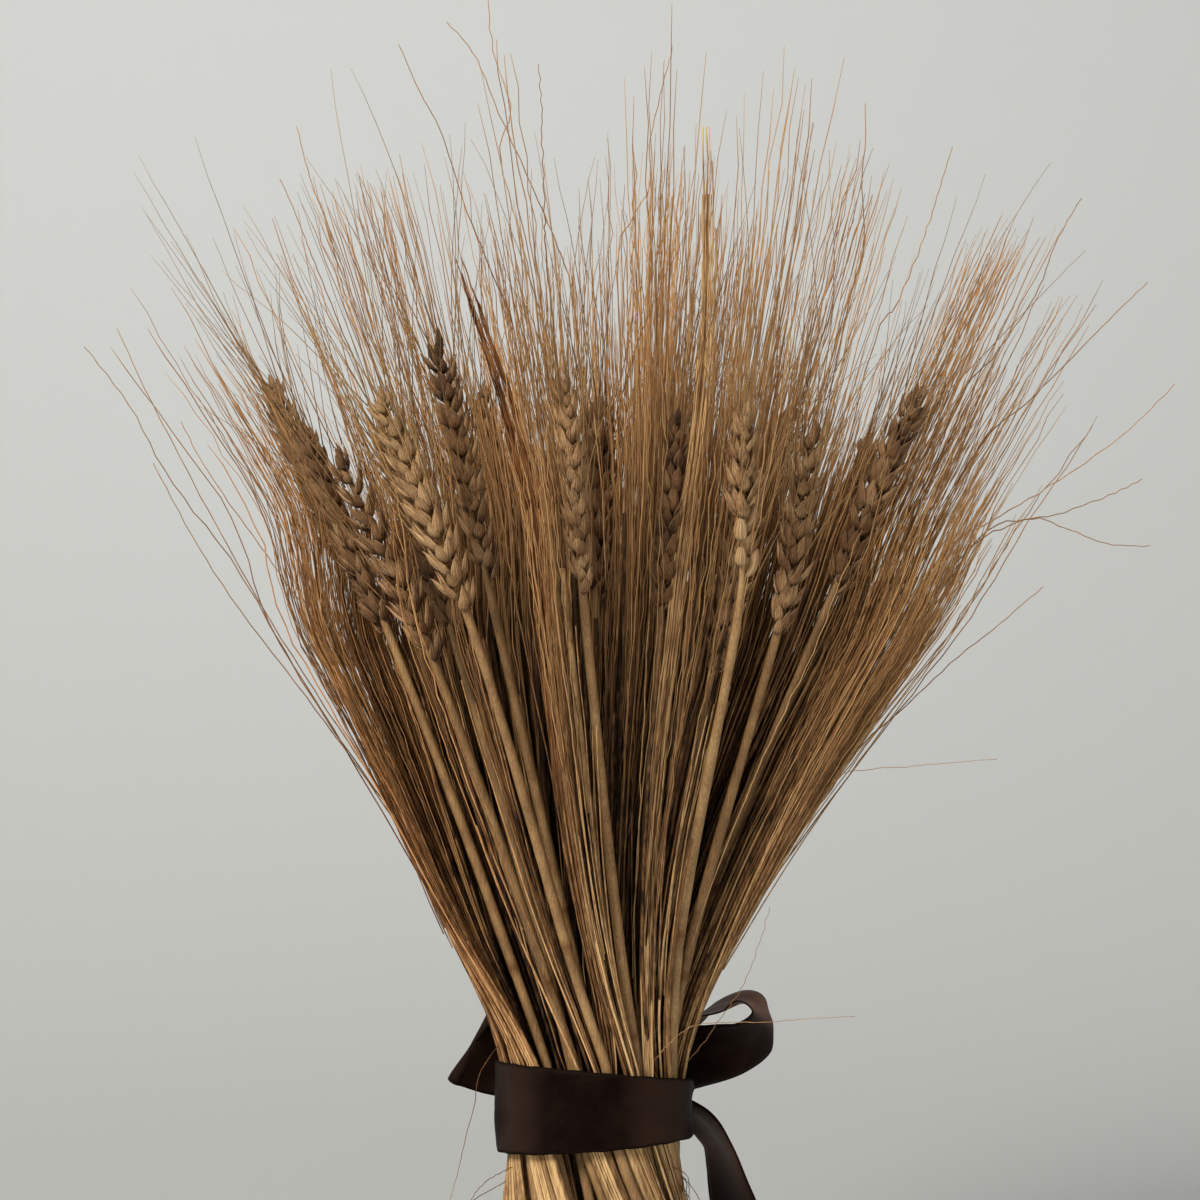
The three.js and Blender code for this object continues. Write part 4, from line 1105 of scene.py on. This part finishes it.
# Painted sheen: the loop's upper strip is painted light, with a painted highlight near its turn.
ribbon_strip("ribbon_right_loop", 90, 7.5, lambda at: (
    mix(0.25, 3.6, smooth((at - 0.46) / 0.08)) + 2.2 * peak(at, 0.58, 0.05)), [
        (3, 28.5, 2, 0, 0, 1, 6.0, 1.6),
        (17, 30, 6, -0.1, -0.1, 1, 8.8, 1.5),
        (30, 23.5, 11.5, -0.25, -0.32, 0.91, 11.2, 0.8),
        (41.5, 17, 15.5, -0.38, -0.55, 0.74, 12.2, 0.3),
        (49.5, 14, 19.5, -0.45, -0.74, 0.5, 12.5, 0.1),
        (52.5, 15, 25, -0.3, -0.93, 0.2, 12.5, 0.0),
        (48.5, 18, 29.8, -0.1, -0.99, -0.03, 12.4, 0.1),
        (40.5, 22, 28.4, -0.05, -0.99, -0.06, 12.0, 0.2),
        (31, 26, 23.5, -0.1, -0.95, 0.2, 11.0, 0.6),
        (17, 34.5, 15, 0, -0.8, 0.6, 8.0, 1.3),
        (4, 30.5, 5, 0, -0.25, 1, 5.5, 1.6),
    ])
# Painted sheen along the left loop, lighter and darker in turn.
ribbon_strip("ribbon_left_loop", 80, 7.5, lambda at: 0.55 + 0.3 * np.sin(at * 11.0), [
    (-1, 28.5, 2, 0, 0, 1, 6.0, 1.6),
    (-15, 30, 6.5, 0.1, 0, 1, 9.0, 1.4),
    (-28, 22.5, 10.5, 0.3, 0, 0.95, 11.6, 0.6),
    (-36.5, 15.8, 14.5, 0.5, 0, 0.87, 12.4, 0.2),
    (-39.3, 15.0, 15.8, 0.51, 0, 0.86, 12.5, 0.0),
    (-37.5, 18.6, 16, 0.51, 0, 0.86, 12.5, 0.0),
    (-28, 26.5, 13, 0.3, 0, 0.95, 11.6, 0.5),
    (-15, 34.5, 9, 0.1, 0, 1, 8.6, 1.3),
    (-2, 30.5, 4, 0, 0, 1, 5.5, 1.6),
])
# Painted highlight along the middle of the right tail.
ribbon_strip("ribbon_right_tail", 80, 3.4, lambda at: 0.45 + 1.7 * peak(at, 0.42, 0.12), [
    (3, 29, -1, 0, 0, 1, 6.0, 1.5),
    (16, 30.5, -2.5, 0.15, 0, 0.98, 7.5, 1.2),
    (28, 25, -5.6, 0.2, -0.75, 0.55, 9.0, 0.8),
    (35, 22, -9.8, 0.32, -0.88, 0.34, 11.0, 0.5),
    (39.2, 20.5, -16, 0.36, -0.92, 0.1, 12.2, 0.4),
    (42, 20.5, -25, 0.46, -0.88, 0.04, 12.5, 0.4),
    (44.6, 22, -35, 0.58, -0.8, 0.05, 12.5, 0.5),
    (48, 24.5, -50, 0.66, -0.74, 0.08, 12.5, 0.4),
    (52, 26, -66, 0.72, -0.66, 0.1, 12.5, 0.3),
    (57, 28.5, -84, 0.74, -0.66, 0.1, 12.5, 0.2),
])
# Painted sheen along the left tail, lighter and darker in turn.
ribbon_strip("ribbon_left_tail", 70, 3.4, lambda at: 0.4 + 0.2 * np.sin(at * 8.0), [
    (-1, 29, -2, 1, 0, 0.3, 6.0, 1.5),
    (-6, 33.1, -13, 1, 0, 0.25, 9.4, 1.0),
    (-10, 35.1, -30, 1, 0.15, 0.2, 12.0, 0.6),
    (-13, 39.5, -52, 1, 0.22, 0.15, 12.5, 0.4),
    (-15.5, 45, -72, 1, 0.2, 0.15, 12.5, 0.3),
    (-18, 49, -89, 1, 0.25, 0.15, 12.5, 0.2),
])
ribbon_knot()


# Stage, light and camera


def studio_bowl():
    """A pale floor that curves up into a wall all round."""
    flat, bend, wall, turns = 0.8, 2.0, 3.4, 72
    profile = [(0.4, 0.0), (flat, 0.0)]
    for a in np.linspace(0.06, math.pi / 2, 24):
        profile.append((flat + bend * math.sin(a), bend - bend * math.cos(a)))
    profile.append((flat + bend, wall))
    angles = 2 * np.pi * np.arange(turns) / turns
    points = [(0.0, 0.0, -0.0005)]
    for radius, height in profile:
        points += [(radius * math.cos(a), radius * math.sin(a), height - 0.0005) for a in angles]
    faces = []
    for i in range(turns):
        j = (i + 1) % turns
        faces.append((0, 1 + i, 1 + j))
        for low in range(1, 1 + turns * (len(profile) - 1), turns):
            faces.append((low + i, low + turns + i, low + turns + j, low + j))
    mesh = smooth_mesh("studio_bowl", points, faces)
    mesh.materials.append(backdrop_material())
    add_object("studio_bowl", mesh)


def soft_light(name, place, size, power, colour, target=(0.0, 0.0, 0.3)):
    light = bpy.data.lights.new(name, "AREA")
    light.shape = "SQUARE"
    light.size = size
    light.energy = power
    light.color = colour
    holder = add_object(name, light)
    holder.location = place
    holder.rotation_euler = (Vector(target) - Vector(place)).to_track_quat("-Z", "Y").to_euler()


def camera():
    distance, frame_width, sensor = 0.9, 0.372, 36.0
    lens = bpy.data.cameras.new("camera")
    lens.sensor_width = sensor
    lens.lens = sensor * distance / frame_width
    lens.clip_start = 0.01
    holder = add_object("camera", lens)
    holder.location = (0.00155, -distance, 0.297)
    holder.rotation_euler = (math.pi / 2, 0.0, 0.0)
    bpy.context.scene.camera = holder


studio_bowl()
soft_light("key", (-0.9, -1.35, 1.25), 0.6, 33, (1.0, 0.96, 0.91))
soft_light("fill", (1.3, -1.1, 0.5), 1.2, 4, (1.0, 0.98, 0.95))
soft_light("overhead", (0.0, 0.5, 2.3), 1.6, 8, (1.0, 1.0, 0.99), target=(0.0, 0.9, 0.0))
soft_light("wall", (-0.3, 0.7, 2.2), 1.0, 25.5, (1.0, 1.0, 0.99), target=(-0.5, 2.7, 2.0))
world = bpy.data.worlds.new("soft_daylight")
world.use_nodes = True
Nodes(world.node_tree).feed(world.node_tree.nodes["Background"], {
    "Color": (0.98, 0.99, 1.0, 1.0), "Strength": 0.2})
bpy.context.scene.world = world
bpy.context.scene.view_settings.view_transform = "Standard"
camera()
